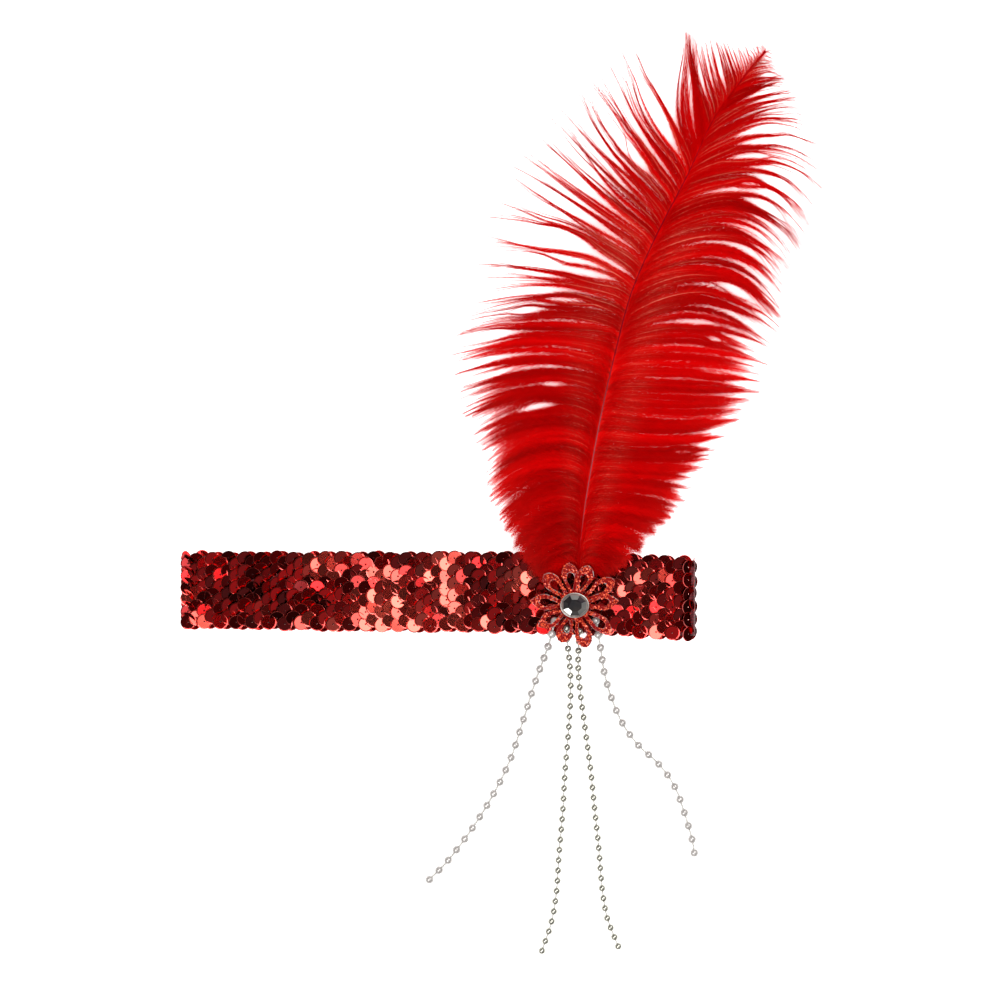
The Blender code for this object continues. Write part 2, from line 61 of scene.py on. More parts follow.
class Sock:
    """One output of a node, for use in Python expressions."""

    def __init__(self, canvas: "Canvas", socket: bpy.types.NodeSocket) -> None:
        """Wrap an output socket of a canvas."""
        self.canvas = canvas
        self.socket = socket

    def __add__(self, other: Number) -> "Sock":
        """Add a value."""
        return self.canvas.math("ADD", self, other)

    __radd__ = __add__

    def __sub__(self, other: Number) -> "Sock":
        """Take a value away."""
        return self.canvas.math("SUBTRACT", self, other)

    def __rsub__(self, other: Number) -> "Sock":
        """Take this away from a value."""
        return self.canvas.math("SUBTRACT", other, self)

    def __mul__(self, other: Number) -> "Sock":
        """Multiply by a value."""
        return self.canvas.math("MULTIPLY", self, other)

    __rmul__ = __mul__

    def __pow__(self, other: Number) -> "Sock":
        """Raise to a power."""
        return self.canvas.math("POWER", self, other)


class Canvas:
    """A node tree that gets every node through one method."""

    def __init__(self, tree: bpy.types.NodeTree) -> None:
        """Work on a node tree."""
        self.tree = tree

    def node(self, kind: str, settings: dict | None = None, inputs: dict | None = None) -> bpy.types.Node:
        """Add a node.

        Args:
            kind: The node's type.
            settings: Its settings, or the stops of its ramp under "stops".
            inputs: Values or links of its sockets, by name or place.

        Returns:
            The new node.
        """
        made = self.tree.nodes.new(kind)
        for name, value in (settings or {}).items():
            if name == "stops":
                self._set_stops(made.color_ramp, value)
            else:
                setattr(made, name, value)
        for key, value in (inputs or {}).items():
            if isinstance(value, Sock):
                self.tree.links.new(value.socket, made.inputs[key])
            else:
                made.inputs[key].default_value = value
        return made

    @staticmethod
    def _set_stops(ramp: bpy.types.ColorRamp, stops: list[tuple[float, tuple]]) -> None:
        """Give a ramp its stops.

        Args:
            ramp: The ramp.
            stops: The place and the colour of each stop.
        """
        while len(ramp.elements) < len(stops):
            ramp.elements.new(1.0)
        for element, (place, colour) in zip(ramp.elements, stops):
            element.position = place
            element.color = (*colour, 1.0)

    def out(
        self, kind: str, settings: dict | None = None, inputs: dict | None = None, output: int | str = 0
    ) -> Sock:
        """Add a node and return one of its outputs."""
        return Sock(self, self.node(kind, settings, inputs).outputs[output])

    def math(self, operation: str, *values: Number) -> Sock:
        """Add a Math node on one, two or three values."""
        return self.out("ShaderNodeMath", {"operation": operation}, dict(enumerate(values)))

    def vector(self, operation: str, *values: "Sock | Point") -> Sock:
        """Add a Vector Math node on vectors."""
        return self.out("ShaderNodeVectorMath", {"operation": operation}, dict(enumerate(values)))

    def parts(self, vector: Sock) -> list[Sock]:
        """The three parts of a vector."""
        split = self.node("ShaderNodeSeparateXYZ", {}, {0: vector})
        return [Sock(self, socket) for socket in split.outputs]


class Surface(Canvas):
    """A material with one main shader."""

    def __init__(self, name: str) -> None:
        """Start a material.

        Args:
            name: The material's name.
        """
        self.material = bpy.data.materials.new(name)
        self.material.use_nodes = True
        super().__init__(self.material.node_tree)
        self.shader = self.tree.nodes["Principled BSDF"]

    def attribute(self, name: str) -> Sock:
        """Read one of the mesh's own values."""
        return self.out("ShaderNodeAttribute", {"attribute_name": name}, output="Fac")

    def place(self) -> Sock:
        """The place on the object, in metres."""
        return self.out("ShaderNodeTexCoord", output="Object")

    def noise(self, scale: float, detail: float = 2.0) -> Sock:
        """Noise of so many features to a metre."""
        inputs = {"Vector": self.place(), "Scale": scale, "Detail": detail}
        return self.out("ShaderNodeTexNoise", {}, inputs)

    def waves(self, direction: str, scale: float, **inputs: float) -> Sock:
        """Even bands across the object."""
        settings = {"wave_type": "BANDS", "bands_direction": direction}
        inputs = {"Vector": self.place(), "Scale": scale, **inputs}
        return self.out("ShaderNodeTexWave", settings, inputs, output="Fac")

    def ramp(self, value: Sock, stops: list[tuple[float, tuple]]) -> Sock:
        """Turn a value into a colour."""
        return self.out("ShaderNodeValToRGB", {"stops": stops}, {"Fac": value})

    def mix(self, share: Number, low: "Sock | tuple", high: "Sock | tuple") -> Sock:
        """Mix two colours.

        Args:
            share: The second colour's share.
            low: The first colour.
            high: The second colour.

        Returns:
            The mixed colour.
        """
        colours = [value if isinstance(value, Sock) else (*value, 1.0) for value in (low, high)]
        inputs = {0: share, 6: colours[0], 7: colours[1]}
        return self.out("ShaderNodeMix", {"data_type": "RGBA"}, inputs, output=2)

    def bump(self, height: Sock, strength: float, distance: float) -> Sock:
        """Raise the surface by a height."""
        return self.out("ShaderNodeBump", {}, {"Height": height, "Strength": strength, "Distance": distance})

    def dress(self, **sockets: "Sock | float | tuple") -> bpy.types.Material:
        """Set the main shader's sockets.

        Args:
            **sockets: Values or links by socket name, with underscores for spaces.

        Returns:
            The material.
        """
        for key, value in sockets.items():
            socket = self.shader.inputs[key.replace("_", " ")]
            if isinstance(value, Sock):
                self.tree.links.new(value.socket, socket)
            elif isinstance(value, tuple):
                socket.default_value = (*value, 1.0)
            else:
                socket.default_value = value
        return self.material

    def let_through(self, share: float, colour: tuple) -> bpy.types.Material:
        """Let a share of the light through a thin surface.

        Args:
            share: The share that comes out on the other side.
            colour: What the light takes on.

        Returns:
            The material.
        """
        thin = self.out("ShaderNodeBsdfTranslucent", {}, {"Color": (*colour, 1.0)})
        front = Sock(self, self.shader.outputs["BSDF"])
        whole = self.out("ShaderNodeMixShader", {}, {0: share, 1: front, 2: thin})
        self.tree.links.new(whole.socket, self.tree.nodes["Material Output"].inputs["Surface"])
        return self.material


class GeometryTree(Canvas):
    """A geometry node tree with named inputs for its sizes."""

    def __init__(self, name: str) -> None:
        """Start a tree that takes and gives geometry.

        Args:
            name: The tree's name.
        """
        tree = bpy.data.node_groups.new(name, "GeometryNodeTree")
        super().__init__(tree)
        for way in ("INPUT", "OUTPUT"):
            tree.interface.new_socket("Geometry", in_out=way, socket_type="NodeSocketGeometry")
        self.entry = self.node("NodeGroupInput")
        self.exit = self.node("NodeGroupOutput")
        self.source = Sock(self, self.entry.outputs["Geometry"])

    def size(self, name: str, kind: str = "NodeSocketFloat") -> Sock:
        """Add a named input and return it."""
        self.tree.interface.new_socket(name, in_out="INPUT", socket_type=kind)
        return Sock(self, self.entry.outputs[name])

    def numbers(self, *names: str) -> list[Sock]:
        """Add named numbers as inputs and return them."""
        return [self.size(name) for name in names]

    def shape(self, name: str) -> Sock:
        """Add a named input for an object and return its geometry."""
        chosen = self.size(name, "NodeSocketObject")
        return self.out("GeometryNodeObjectInfo", {}, {"Object": chosen}, output="Geometry")

    def read(self, name: str, kind: str = "FLOAT") -> Sock:
        """Read a value that the guide's points carry."""
        return self.out("GeometryNodeInputNamedAttribute", {"data_type": kind}, {"Name": name})

    def random(self, low: Number, high: Number, seed: int) -> Sock:
        """A random number for each element."""
        inputs = {2: low, 3: high, "Seed": seed}
        return self.out("FunctionNodeRandomValue", {"data_type": "FLOAT"}, inputs, output=1)

    def combine(self, x: Number, y: Number, z: Number) -> Sock:
        """Make a vector of three values."""
        return self.out("ShaderNodeCombineXYZ", {}, {0: x, 1: y, 2: z})

    def lines(self) -> Sock:
        """The guide's edges as curves."""
        return self.out("GeometryNodeMeshToCurve", {}, {"Mesh": self.source})

    def stations(self, curves: Sock, pitch: Sock) -> Sock:
        """Points along curves, a pitch apart."""
        inputs = {"Curve": curves, "Length": pitch}
        return self.out("GeometryNodeResampleCurve", {"mode": "LENGTH"}, inputs)

    def tube(self, curves: Sock, sides: int, radius: Number, scale: Number = 1.0) -> Sock:
        """Capped tubes along curves.

        Args:
            curves: The tubes' middle lines.
            sides: Sides round a tube.
            radius: The tubes' radius.
            scale: What the radius is multiplied by at each point.

        Returns:
            The tubes.
        """
        size = {"Resolution": sides, "Radius": radius}
        ring = self.out("GeometryNodeCurvePrimitiveCircle", {"mode": "RADIUS"}, size)
        inputs = {"Curve": curves, "Profile Curve": ring, "Scale": scale, "Fill Caps": True}
        return self.out("GeometryNodeCurveToMesh", {}, inputs)

    def copies(self, points: Sock, shape: Sock, rotation: Sock, scale: "Sock | Point" = (1, 1, 1)) -> Sock:
        """A copy of a shape on each point."""
        inputs = {"Points": points, "Instance": shape, "Rotation": rotation, "Scale": scale}
        return self.out("GeometryNodeInstanceOnPoints", {}, inputs)

    def store(self, geometry: Sock, name: str, value: Number, domain: str = "INSTANCE") -> Sock:
        """Store a named number on each copy or point."""
        inputs = {"Geometry": geometry, "Name": name, "Value": value}
        return self.out("GeometryNodeStoreNamedAttribute", {"data_type": "FLOAT", "domain": domain}, inputs)

    def moved(self, points: Sock, offset: Sock) -> Sock:
        """Move points by an offset."""
        return self.out("GeometryNodeSetPosition", {}, {"Geometry": points, "Offset": offset})

    def painted(self, geometry: Sock, finish: Sock) -> Sock:
        """Set a geometry's material."""
        return self.out("GeometryNodeSetMaterial", {}, {"Geometry": geometry, "Material": finish})

    def join(self, *geometries: Sock) -> Sock:
        """Join geometries.

        Args:
            *geometries: What is joined.

        Returns:
            The whole.
        """
        joined = self.node("GeometryNodeJoinGeometry")
        for geometry in geometries:
            self.tree.links.new(geometry.socket, joined.inputs[0])
        return Sock(self, joined.outputs[0])

    def turn(self, rotation: Sock, x: Number, y: Number, z: Number) -> Sock:
        """Turn a rotation by angles about its own axes.

        Args:
            rotation: What is turned.
            x: The angle about X, in radians.
            y: The angle about Y.
            z: The angle about Z.

        Returns:
            The new rotation.
        """
        euler = self.out("FunctionNodeEulerToRotation", {}, {0: self.combine(x, y, z)})
        inputs = {"Rotation": rotation, "Rotate By": euler}
        return self.out("FunctionNodeRotateRotation", {"rotation_space": "LOCAL"}, inputs)

    def facing(self, forward: Sock, up: Sock, axes: str = "XZ") -> Sock:
        """A rotation that points its first axis forward and its second as near to up as it can be."""
        settings = {"primary_axis": axes[0], "secondary_axis": axes[1]}
        inputs = {"Primary Axis": forward, "Secondary Axis": up}
        return self.out("FunctionNodeAxesToRotation", settings, inputs)

    def end(self, geometry: Sock, finish: Sock | None = None) -> None:
        """End the tree: make the instances real and set their material.

        Args:
            geometry: What the tree makes.
            finish: The material, or None where each part of the geometry has its own.
        """
        whole = self.out("GeometryNodeRealizeInstances", {}, {"Geometry": geometry})
        if finish:
            whole = self.painted(whole, finish)
        self.tree.links.new(whole.socket, self.exit.inputs[0])

    def close(self, geometry: Sock) -> None:
        """End the tree with one material, a named input."""
        self.end(geometry, self.size("Finish", "NodeSocketMaterial"))

    def make(
        self, guide: bpy.types.Object, name: str, sizes: dict, finish: bpy.types.Material
    ) -> bpy.types.Object:
        """Run the tree on a guide object and keep the result as a plain mesh.

        Args:
            guide: The object that the tree reads. It is removed.
            name: The new piece's name.
            sizes: Values of the tree's named inputs. Objects among them are removed.
            finish: The material.

        Returns:
            The finished piece.
        """
        modifier = guide.modifiers.new(name, "NODES")
        modifier.node_group = self.tree
        sockets = [item for item in self.tree.interface.items_tree if item.in_out == "INPUT"]
        places = {item.name: item.identifier for item in sockets}
        for key, value in {**sizes, "Finish": finish}.items():
            modifier[places[key]] = value
        bpy.context.view_layer.update()
        graph = bpy.context.evaluated_depsgraph_get()
        mesh = bpy.data.meshes.new_from_object(
            guide.evaluated_get(graph), preserve_all_data_layers=True, depsgraph=graph
        )
        used = [value for value in sizes.values() if isinstance(value, bpy.types.Object)]
        for helper in (guide, *used):
            bpy.data.objects.remove(helper, do_unlink=True)
        mesh.name = name
        return new_object(name, mesh)


def new_object(name: str, mesh: bpy.types.Mesh, finish: bpy.types.Material | None = None) -> bpy.types.Object:
    """Put a mesh in the scene.

    Args:
        name: The object's name.
        mesh: Its mesh.
        finish: Its material, if the mesh has none yet.

    Returns:
        The object.
    """
    obj = bpy.data.objects.new(name, mesh)
    bpy.context.scene.collection.objects.link(obj)
    if finish:
        mesh.materials.append(finish)
    return obj


def mesh_of(name: str, points: list | np.ndarray, faces: list) -> bpy.types.Mesh:
    """A mesh of points and faces.

    Args:
        name: The mesh's name.
        points: Its points.
        faces: The points of each face, by number.

    Returns:
        The mesh.
    """
    mesh = bpy.data.meshes.new(name)
    mesh.from_pydata([tuple(point) for point in points], [], faces)
    mesh.update()
    return mesh


def keep_values(mesh: bpy.types.Mesh, name: str, values: list | np.ndarray, domain: str = "POINT") -> None:
    """Store a named number or vector for each point or face of a mesh.

    Args:
        mesh: The mesh.
        name: The values' name.
        values: One number or vector for each element.
        domain: POINT or FACE.
    """
    flat = np.asarray(values, np.float32)
    kind, slot = ("FLOAT_VECTOR", "vector") if flat.ndim == 2 else ("FLOAT", "value")
    mesh.attributes.new(name, kind, domain).data.foreach_set(slot, flat.ravel())


def guide_lines(name: str, lines: list[np.ndarray], values: dict[str, list[np.ndarray]]) -> bpy.types.Object:
    """An object of loose lines whose points carry values.

    Args:
        name: The object's name.
        lines: The points of each line, one array a line.
        values: For each value's name, one array a line, of numbers or vectors.

    Returns:
        The guide object.
    """
    points = np.concatenate(lines)
    edges = []
    start = 0
    for line in lines:
        edges += [(start + step, start + step + 1) for step in range(len(line) - 1)]
        start += len(line)
    mesh = bpy.data.meshes.new(name)
    mesh.from_pydata(points.tolist(), edges, [])
    for key, arrays in values.items():
        keep_values(mesh, key, np.concatenate(arrays))
    return new_object(name, mesh)


def smoothstep(value: float | np.ndarray) -> float | np.ndarray:
    """Ease from 0 to 1."""
    value = np.clip(value, 0.0, 1.0)
    return value * value * (3.0 - 2.0 * value)


def smooth_path(points: np.ndarray, steps: int) -> np.ndarray:
    """A smooth curve through points.

    Args:
        points: The points.
        steps: Steps between two of them.

    Returns:
        The curve's points.
    """
    ends = np.vstack([2 * points[0] - points[1], points, 2 * points[-1] - points[-2]])
    path = []
    for before, start, end, after in zip(ends, ends[1:], ends[2:], ends[3:]):
        bend = 2 * before - 5 * start + 4 * end - after
        twist = 3 * start - before - 3 * end + after
        for t in np.arange(steps) / steps:
            path.append(0.5 * (2 * start + (end - before) * t + bend * t**2 + twist * t**3))
    return np.array([*path, points[-1]])


def lengths_along(path: np.ndarray) -> np.ndarray:
    """The length of a path up to each of its points."""
    return np.concatenate([[0.0], np.cumsum(np.linalg.norm(np.diff(path, axis=0), axis=1))])


def at_length(path: np.ndarray, lengths: np.ndarray, where: float | np.ndarray) -> np.ndarray:
    """The points at lengths along a path."""
    return np.stack([np.interp(where, lengths, path[:, axis]) for axis in range(path.shape[1])], axis=-1)


def circle(radius: float, sides: int, z: float, centre: tuple = (0.0, 0.0)) -> list[Point]:
    """Points round a level circle."""
    turns = np.linspace(0, math.tau, sides, endpoint=False)
    return [(centre[0] + radius * math.cos(a), centre[1] + radius * math.sin(a), z) for a in turns]


def loft(rings: list[list[Point]], closed: bool = False, capped: bool = True) -> tuple[list, list]:
    """Points and faces of a skin through rings of points.

    Args:
        rings: Rings with the same number of points each.
        closed: Whether the last ring joins the first.
        capped: Whether an open skin gets flat ends.

    Returns:
        The points and the faces.
    """
    sides = len(rings[0])
    points = [tuple(point) for ring in rings for point in ring]
    pairs = [(row, row + 1) for row in range(len(rings) - 1)]
    if closed:
        pairs.append((len(rings) - 1, 0))
    faces = []
    for low, high in pairs:
        for side in range(sides):
            after = (side + 1) % sides
            face = (low * sides + side, low * sides + after, high * sides + after, high * sides + side)
            faces.append(face)
    if capped and not closed:
        faces.append(tuple(reversed(range(sides))))
        faces.append(tuple(range((len(rings) - 1) * sides, len(rings) * sides)))
    return points, faces


def outward(mesh: bpy.types.Mesh) -> bpy.types.Mesh:
    """Turn a closed mesh's faces outwards.

    Args:
        mesh: The mesh.

    Returns:
        The same mesh.
    """
    bm = bmesh.new()
    bm.from_mesh(mesh)
    bmesh.ops.recalc_face_normals(bm, faces=bm.faces)
    bm.to_mesh(mesh)
    bm.free()
    return mesh


def skin(
    name: str, rings: list, finish: bpy.types.Material, closed: bool = False, smooth: bool = True
) -> bpy.types.Object:
    """An object whose skin runs through rings of points.

    Args:
        name: The object's name.
        rings: Rings with the same number of points each.
        finish: The material.
        closed: Whether the last ring joins the first.
        smooth: Whether it is shaded smooth.

    Returns:
        The object.
    """
    points, faces = loft(rings, closed=closed)
    mesh = outward(mesh_of(name, points, faces))
    if smooth:
        mesh.shade_smooth()
    return new_object(name, mesh, finish)


class Slot(Enum):
    """The record's material slots."""

    SEQUIN = "sequin_red"
    FEATHER = "feather_red"
    GLITTER = "glitter_red"
    CRYSTAL = "crystal_silver"
    PEARL = "pearl_grey"
    SILVER = "silver_bead"


def seat(piece: bpy.types.Object, slot: Slot, node: str) -> None:
    """Let a piece ride on the headband.

    Args:
        piece: The finished piece.
        slot: Its finish's slot. It is not used.
        node: The solid that it stands for.
    """
    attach(piece, ROOT)
    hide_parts(node)
    LOG.info("%s: %d faces for %s", piece.name, len(piece.data.polygons), node)


class Side(Enum):
    """The two sides of the quill, seen with the plume's tip up."""

    LEFT = 1
    RIGHT = -1


@dataclass(frozen=True)
class SequinFinish:
    """Red metallised film, deep to bright at random.

    Sequins that lean to the light get a painted flash: a paler salmon colour and more coat.
    """

    deep: tuple = (0.1, 0.0, 0.0005)
    bright: tuple = (0.64, 0.002, 0.003)
    painted_flash: tuple = (0.72, 0.075, 0.045)
    # A painted highlight: the colour given to the sequins' rims.
    edge: tuple = (0.8, 0.12, 0.1)
    stitch: tuple = (0.75, 0.35, 0.3)
    roughness: float = 0.1

    def material(self) -> bpy.types.Material:
        """Build the film's material.

        Returns:
            The material.
        """
        surface = Surface("sequin_film")
        shade = surface.attribute("shade")
        flash = surface.attribute("flash")
        stitch = surface.attribute("stitch")
        mottle = surface.noise(900.0)
        worn = surface.mix(shade, self.deep, self.bright)
        # Painted highlight: the turned-up rim is coloured a paler pink red, standing for the thin light lines
        # along the rims.
        edge = surface.attribute("edge")
        # Painted flash: sequins that lean to the light take the paler flash colour instead of their own.
        film = surface.mix(edge * 0.8, surface.mix(flash, worn, self.painted_flash), self.edge)
        return surface.dress(
            Base_Color=surface.mix(stitch, film, self.stitch),
            Metallic=1.0,
            Roughness=self.roughness + mottle * 0.06 + edge * 0.25,
            Coat_Weight=flash * 0.35 + 0.2,
            Coat_Roughness=0.08,
            Coat_IOR=1.7,
        )


@dataclass(frozen=True)
class ClothFinish:
    """Dark red stretch knit under the sequins."""

    low: tuple = (0.05, 0.0, 0.002)
    high: tuple = (0.16, 0.003, 0.01)
    rib: float = 1400.0

    def material(self) -> bpy.types.Material:
        """Build the knit's material.

        Returns:
            The material.
        """
        surface = Surface("stretch_knit")
        ribs = surface.waves("Y", self.rib / math.tau, Distortion=1.5, Detail=1.0)
        fuzz = surface.noise(2500.0)
        weave = ribs * 0.7 + fuzz * 0.3
        return surface.dress(
            Base_Color=surface.mix(weave, self.low, self.high),
            Roughness=0.85 - weave * 0.15,
            Sheen_Weight=0.3,
            Normal=surface.bump(weave, 0.6, 0.2 * MM),
        )


@dataclass(frozen=True)
class FeatherFinish:
    """Dyed ostrich barbs: deep red near the quill, paler and pinker at the fine tips."""

    deep: tuple = (0.4, 0.0, 0.0005)
    body: tuple = (0.9, 0.0, 0.001)
    pale: tuple = (0.95, 0.12, 0.09)
    lit: tuple = (1.0, 0.3, 0.2)
    through: tuple = (0.85, 0.0, 0.003)

    def material(self) -> bpy.types.Material:
        """Build the barbs' material.

        Returns:
            The material.
        """
        surface = Surface("dyed_barbs")
        hue = surface.attribute("hue")
        along = surface.attribute("along")
        fine = surface.attribute("fine")
        streak = surface.mix(hue, self.deep, self.body)
        # The fine tips are paler, and the shafts are a little paler as a painted highlight.
        tips = along**4.0 * 0.1 + fine * 0.03
        fibre = surface.mix(tips, streak, self.pale)
        # Painted glint: pale orange streaks on the shafts near the quill and on the lead barbs, mottled by
        # noise.
        glint = surface.attribute("glint") * (fine * 0.75 + surface.noise(700.0, 1.0) * 0.16)
        surface.dress(
            Base_Color=surface.mix(glint, fibre, self.lit),
            Roughness=0.6,
            Specular_IOR_Level=0.01,
        )
        return surface.let_through(0.3, self.through)


@dataclass(frozen=True)
class QuillFinish:
    """The quill's shaft: red at its foot, pale horn along the middle, dark red near the tip."""

    foot: tuple = (0.42, 0.002, 0.008)
    horn: tuple = (0.28, 0.055, 0.065)
    tip: tuple = (0.13, 0.0, 0.008)
    length: float = 265.0 * MM

    def material(self) -> bpy.types.Material:
        """Build the shaft's material.

        Returns:
            The material.
        """
        surface = Surface("quill_horn")
        along = surface.parts(surface.place())[1] * (1.0 / self.length)
        stops = [(0.1, self.foot), (0.22, self.horn), (0.33, self.horn), (0.46, self.tip)]
        streaks = surface.noise(700.0, 3.0)
        return surface.dress(
            Base_Color=surface.ramp(along + streaks * 0.06, stops),
            Roughness=0.5 + streaks * 0.2,
            Specular_IOR_Level=0.03,
            Normal=surface.bump(streaks, 0.2, 0.1 * MM),
        )


@dataclass(frozen=True)
class GrainFinish:
    """A finish that one noise shades between two colours.

    Roughness is its least and what the grain adds. Bump is its strength and its depth.
    """

    name: str
    low: tuple
    high: tuple
    scale: float
    roughness: tuple
    detail: float = 2.0
    bump: tuple = ()
    sockets: dict = field(default_factory=dict)

    def material(self) -> bpy.types.Material:
        """Build the material.

        Returns:
            The material.
        """
        surface = Surface(self.name)
        grain = surface.noise(self.scale, self.detail)
        least, more = self.roughness
        sockets = dict(self.sockets)
        if self.bump:
            sockets["Normal"] = surface.bump(grain, *self.bump)
        return surface.dress(
            Base_Color=surface.mix(grain, self.low, self.high),
            Roughness=grain * more + least if more else least,
            **sockets,
        )


GLITTER_SHEET = GrainFinish(
    "glitter_sheet", (0.14, 0.0, 0.0), (0.32, 0.0, 0.001), 2600.0, (0.6, 0.0), detail=1.0,
    bump=(0.8, 0.15 * MM), sockets={"Specular_IOR_Level": 0.1},
)
BRUSHED_RIM = GrainFinish(
    "brushed_rim", (0.3, 0.285, 0.26), (0.55, 0.54, 0.5), 900.0, (0.34, 0.15), sockets={"Metallic": 0.8}
)
PEARL_COATING = GrainFinish(
    "pearl_coating", (0.58, 0.55, 0.53), (0.42, 0.39, 0.37), 420.0, (0.2, 0.1),
    sockets={"Metallic": 0.3, "Coat_Weight": 0.8, "Coat_Roughness": 0.08},
)
SILVER_PLATE = GrainFinish(
    "silver_plate", (0.34, 0.33, 0.28), (0.56, 0.55, 0.49), 600.0, (0.16, 0.14), sockets={"Metallic": 0.75}
)
PALE_ACRYLIC = GrainFinish(
    "pale_acrylic", (0.9, 0.9, 0.9), (0.93, 0.93, 0.93), 40.0, (0.9, 0.0),
    sockets={"Specular_IOR_Level": 0.1, "Emission_Color": (1.0, 1.0, 1.0), "Emission_Strength": 0.8},
)


@dataclass(frozen=True)
class GlitterFlakeFinish:
    """Loose orange red flakes of mirror film."""

    deep: tuple = (0.3, 0.0, 0.001)
    bright: tuple = (1.0, 0.13, 0.05)

    def material(self) -> bpy.types.Material:
        """Build the flakes' material.

        Returns:
            The material.
        """
        surface = Surface("glitter_flakes")
        shade = surface.attribute("shade")
        return surface.dress(
            Base_Color=surface.ramp(shade, [(0.35, self.deep), (0.6, self.bright)]),
            Metallic=0.1,
            Roughness=0.25,
            Specular_IOR_Level=0.5,
        )


@dataclass(frozen=True)
class CutEdgeFinish:
    """The pale core that shows where the flower's sheet is cut."""

    core: tuple = (0.36, 0.29, 0.28)
    stained: tuple = (0.3, 0.02, 0.012)

    def material(self) -> bpy.types.Material:
        """Build the cut edge's material.

        Returns:
            The material.
        """
        surface = Surface("cut_edge")
        fibres = surface.noise(1800.0)
        worn = surface.ramp(surface.noise(260.0), [(0.5, (0.0, 0.0, 0.0)), (0.66, (1.0, 1.0, 1.0))])
        return surface.dress(
            Base_Color=surface.mix(worn, self.stained, self.core),
            Roughness=0.6,
            Normal=surface.bump(fibres, 0.3, 0.1 * MM),
        )


@dataclass(frozen=True)
class CrystalFinish:
    """Foil-backed cut stone, silver grey with a transparent hard face, each facet coloured as a painted
    reflection.
    """

    dark: tuple = (0.006, 0.009, 0.016)
    warm: tuple = (0.04, 0.028, 0.024)
    light: tuple = (0.8, 0.78, 0.72)

    def material(self) -> bpy.types.Material:
        """Build the stone's material.

        Returns:
            The material.
        """
        surface = Surface("cut_crystal")
        cloud = surface.noise(320.0, 1.0)
        tone = surface.attribute("tone")
        under = surface.mix(cloud, self.dark, self.warm)
        # Painted reflection: each facet's stored value mixes the dark clouded colour toward light grey and
        # sets its coat.
        return surface.dress(
            Base_Color=surface.mix(tone * (0.75 + cloud * 0.5), under, self.light),
            Metallic=0.25,
            Roughness=0.05 + cloud * 0.05,
            Specular_IOR_Level=0.0,
            Coat_Weight=tone * 0.8,
            Coat_Roughness=0.02,
        )


@dataclass(frozen=True)
class ThreadFinish:
    """Pale twisted thread between the beads."""

    low: tuple = (0.42, 0.4, 0.37)
    high: tuple = (0.66, 0.64, 0.6)

    def material(self) -> bpy.types.Material:
        """Build the thread's material.

        Returns:
            The material.
        """
        surface = Surface("bead_thread")
        twist = surface.waves("DIAGONAL", 500.0)
        return surface.dress(
            Base_Color=surface.mix(twist, self.low, self.high),
            Roughness=0.5,
            Normal=surface.bump(twist, 0.4, 0.05 * MM),
        )


@dataclass
class Softbox:
    """One square studio light."""

    name: str
    azimuth: float
    zenith: float
    distance: float
    width: float
    radiance: float
    aim: Vector = field(default_factory=lambda: Vector((0.03, 0.04, 0.0)))

    def build(self) -> None:
        """Hang the light and point it at the headband."""
        light = bpy.data.lights.new(self.name, "AREA")
        light.shape = "SQUARE"
        light.size = self.width
        light.energy = self.radiance * math.pi * self.width**2
        lamp = bpy.data.objects.new(self.name, light)
        away = math.radians(self.azimuth)
        down = math.radians(self.zenith)
        level = math.sin(down)
        offset = Vector((level * math.cos(away), level * math.sin(away), math.cos(down)))
        lamp.location = self.aim + offset * self.distance
        lamp.rotation_euler = (-offset).to_track_quat("-Z", "Y").to_euler()
        bpy.context.scene.collection.objects.link(lamp)


@dataclass
class Studio:
    """Floor, lights and camera."""

    pixel: float = 0.48 * MM
    picture: int = 1000
    view_centre: Vector = field(default_factory=lambda: Vector((29.3, 44.9, 0.0)) * MM)
    camera_height: float = 1.6
    sensor: float = 36.0
    floor_size: float = 4.0
    floor_drop: float = 0.05 * MM
    sky: float = 0.06

    def build(self) -> None:
        """Set up everything round the headband."""
        self._floor()
        self._camera()
        self._sky()
        for softbox in (
            Softbox("key_softbox", 45.0, 28.0, 1.7, 1.15, 5.4),
            Softbox("fill_softbox", 225.0, 28.0, 1.7, 1.15, 5.2),
            Softbox("low_softbox", 315.0, 36.0, 1.7, 0.7, 0.38),
        ):
            softbox.build()
        bpy.context.scene.view_settings.view_transform = "Standard"
        LOG.info("studio ready")

    def _floor(self) -> None:
        """Lay the pale floor."""
        half = self.floor_size / 2
        turns = ((-half, -half), (half, -half), (half, half), (-half, half))
        mesh = mesh_of("floor", [(x, y, -self.floor_drop) for x, y in turns], [(0, 1, 2, 3)])
        new_object("floor", mesh, PALE_ACRYLIC.material())

    def _camera(self) -> None:
        """Hang the camera straight above, looking down."""
        lens = bpy.data.cameras.new("camera")
        lens.sensor_width = self.sensor
        lens.lens = self.sensor * self.camera_height / (self.pixel * self.picture)
        lens.clip_start = 0.01
        camera = bpy.data.objects.new("camera", lens)
        camera.location = self.view_centre + Vector((0, 0, self.camera_height))
        bpy.context.scene.collection.objects.link(camera)
        bpy.context.scene.camera = camera

    def _sky(self) -> None:
        """Set the dim light from all round."""
        world = bpy.data.worlds.new("dim_room")
        world.use_nodes = True
        shine = world.node_tree.nodes["Background"]
        shine.inputs["Color"].default_value = (1.0, 1.0, 1.0, 1.0)
        shine.inputs["Strength"].default_value = self.sky
        bpy.context.scene.world = world


class BandSection(NamedTuple):
    """Width and drift of the band at a share of its half length, as shares of its full width."""

    place: float
    width: float
    drift: float


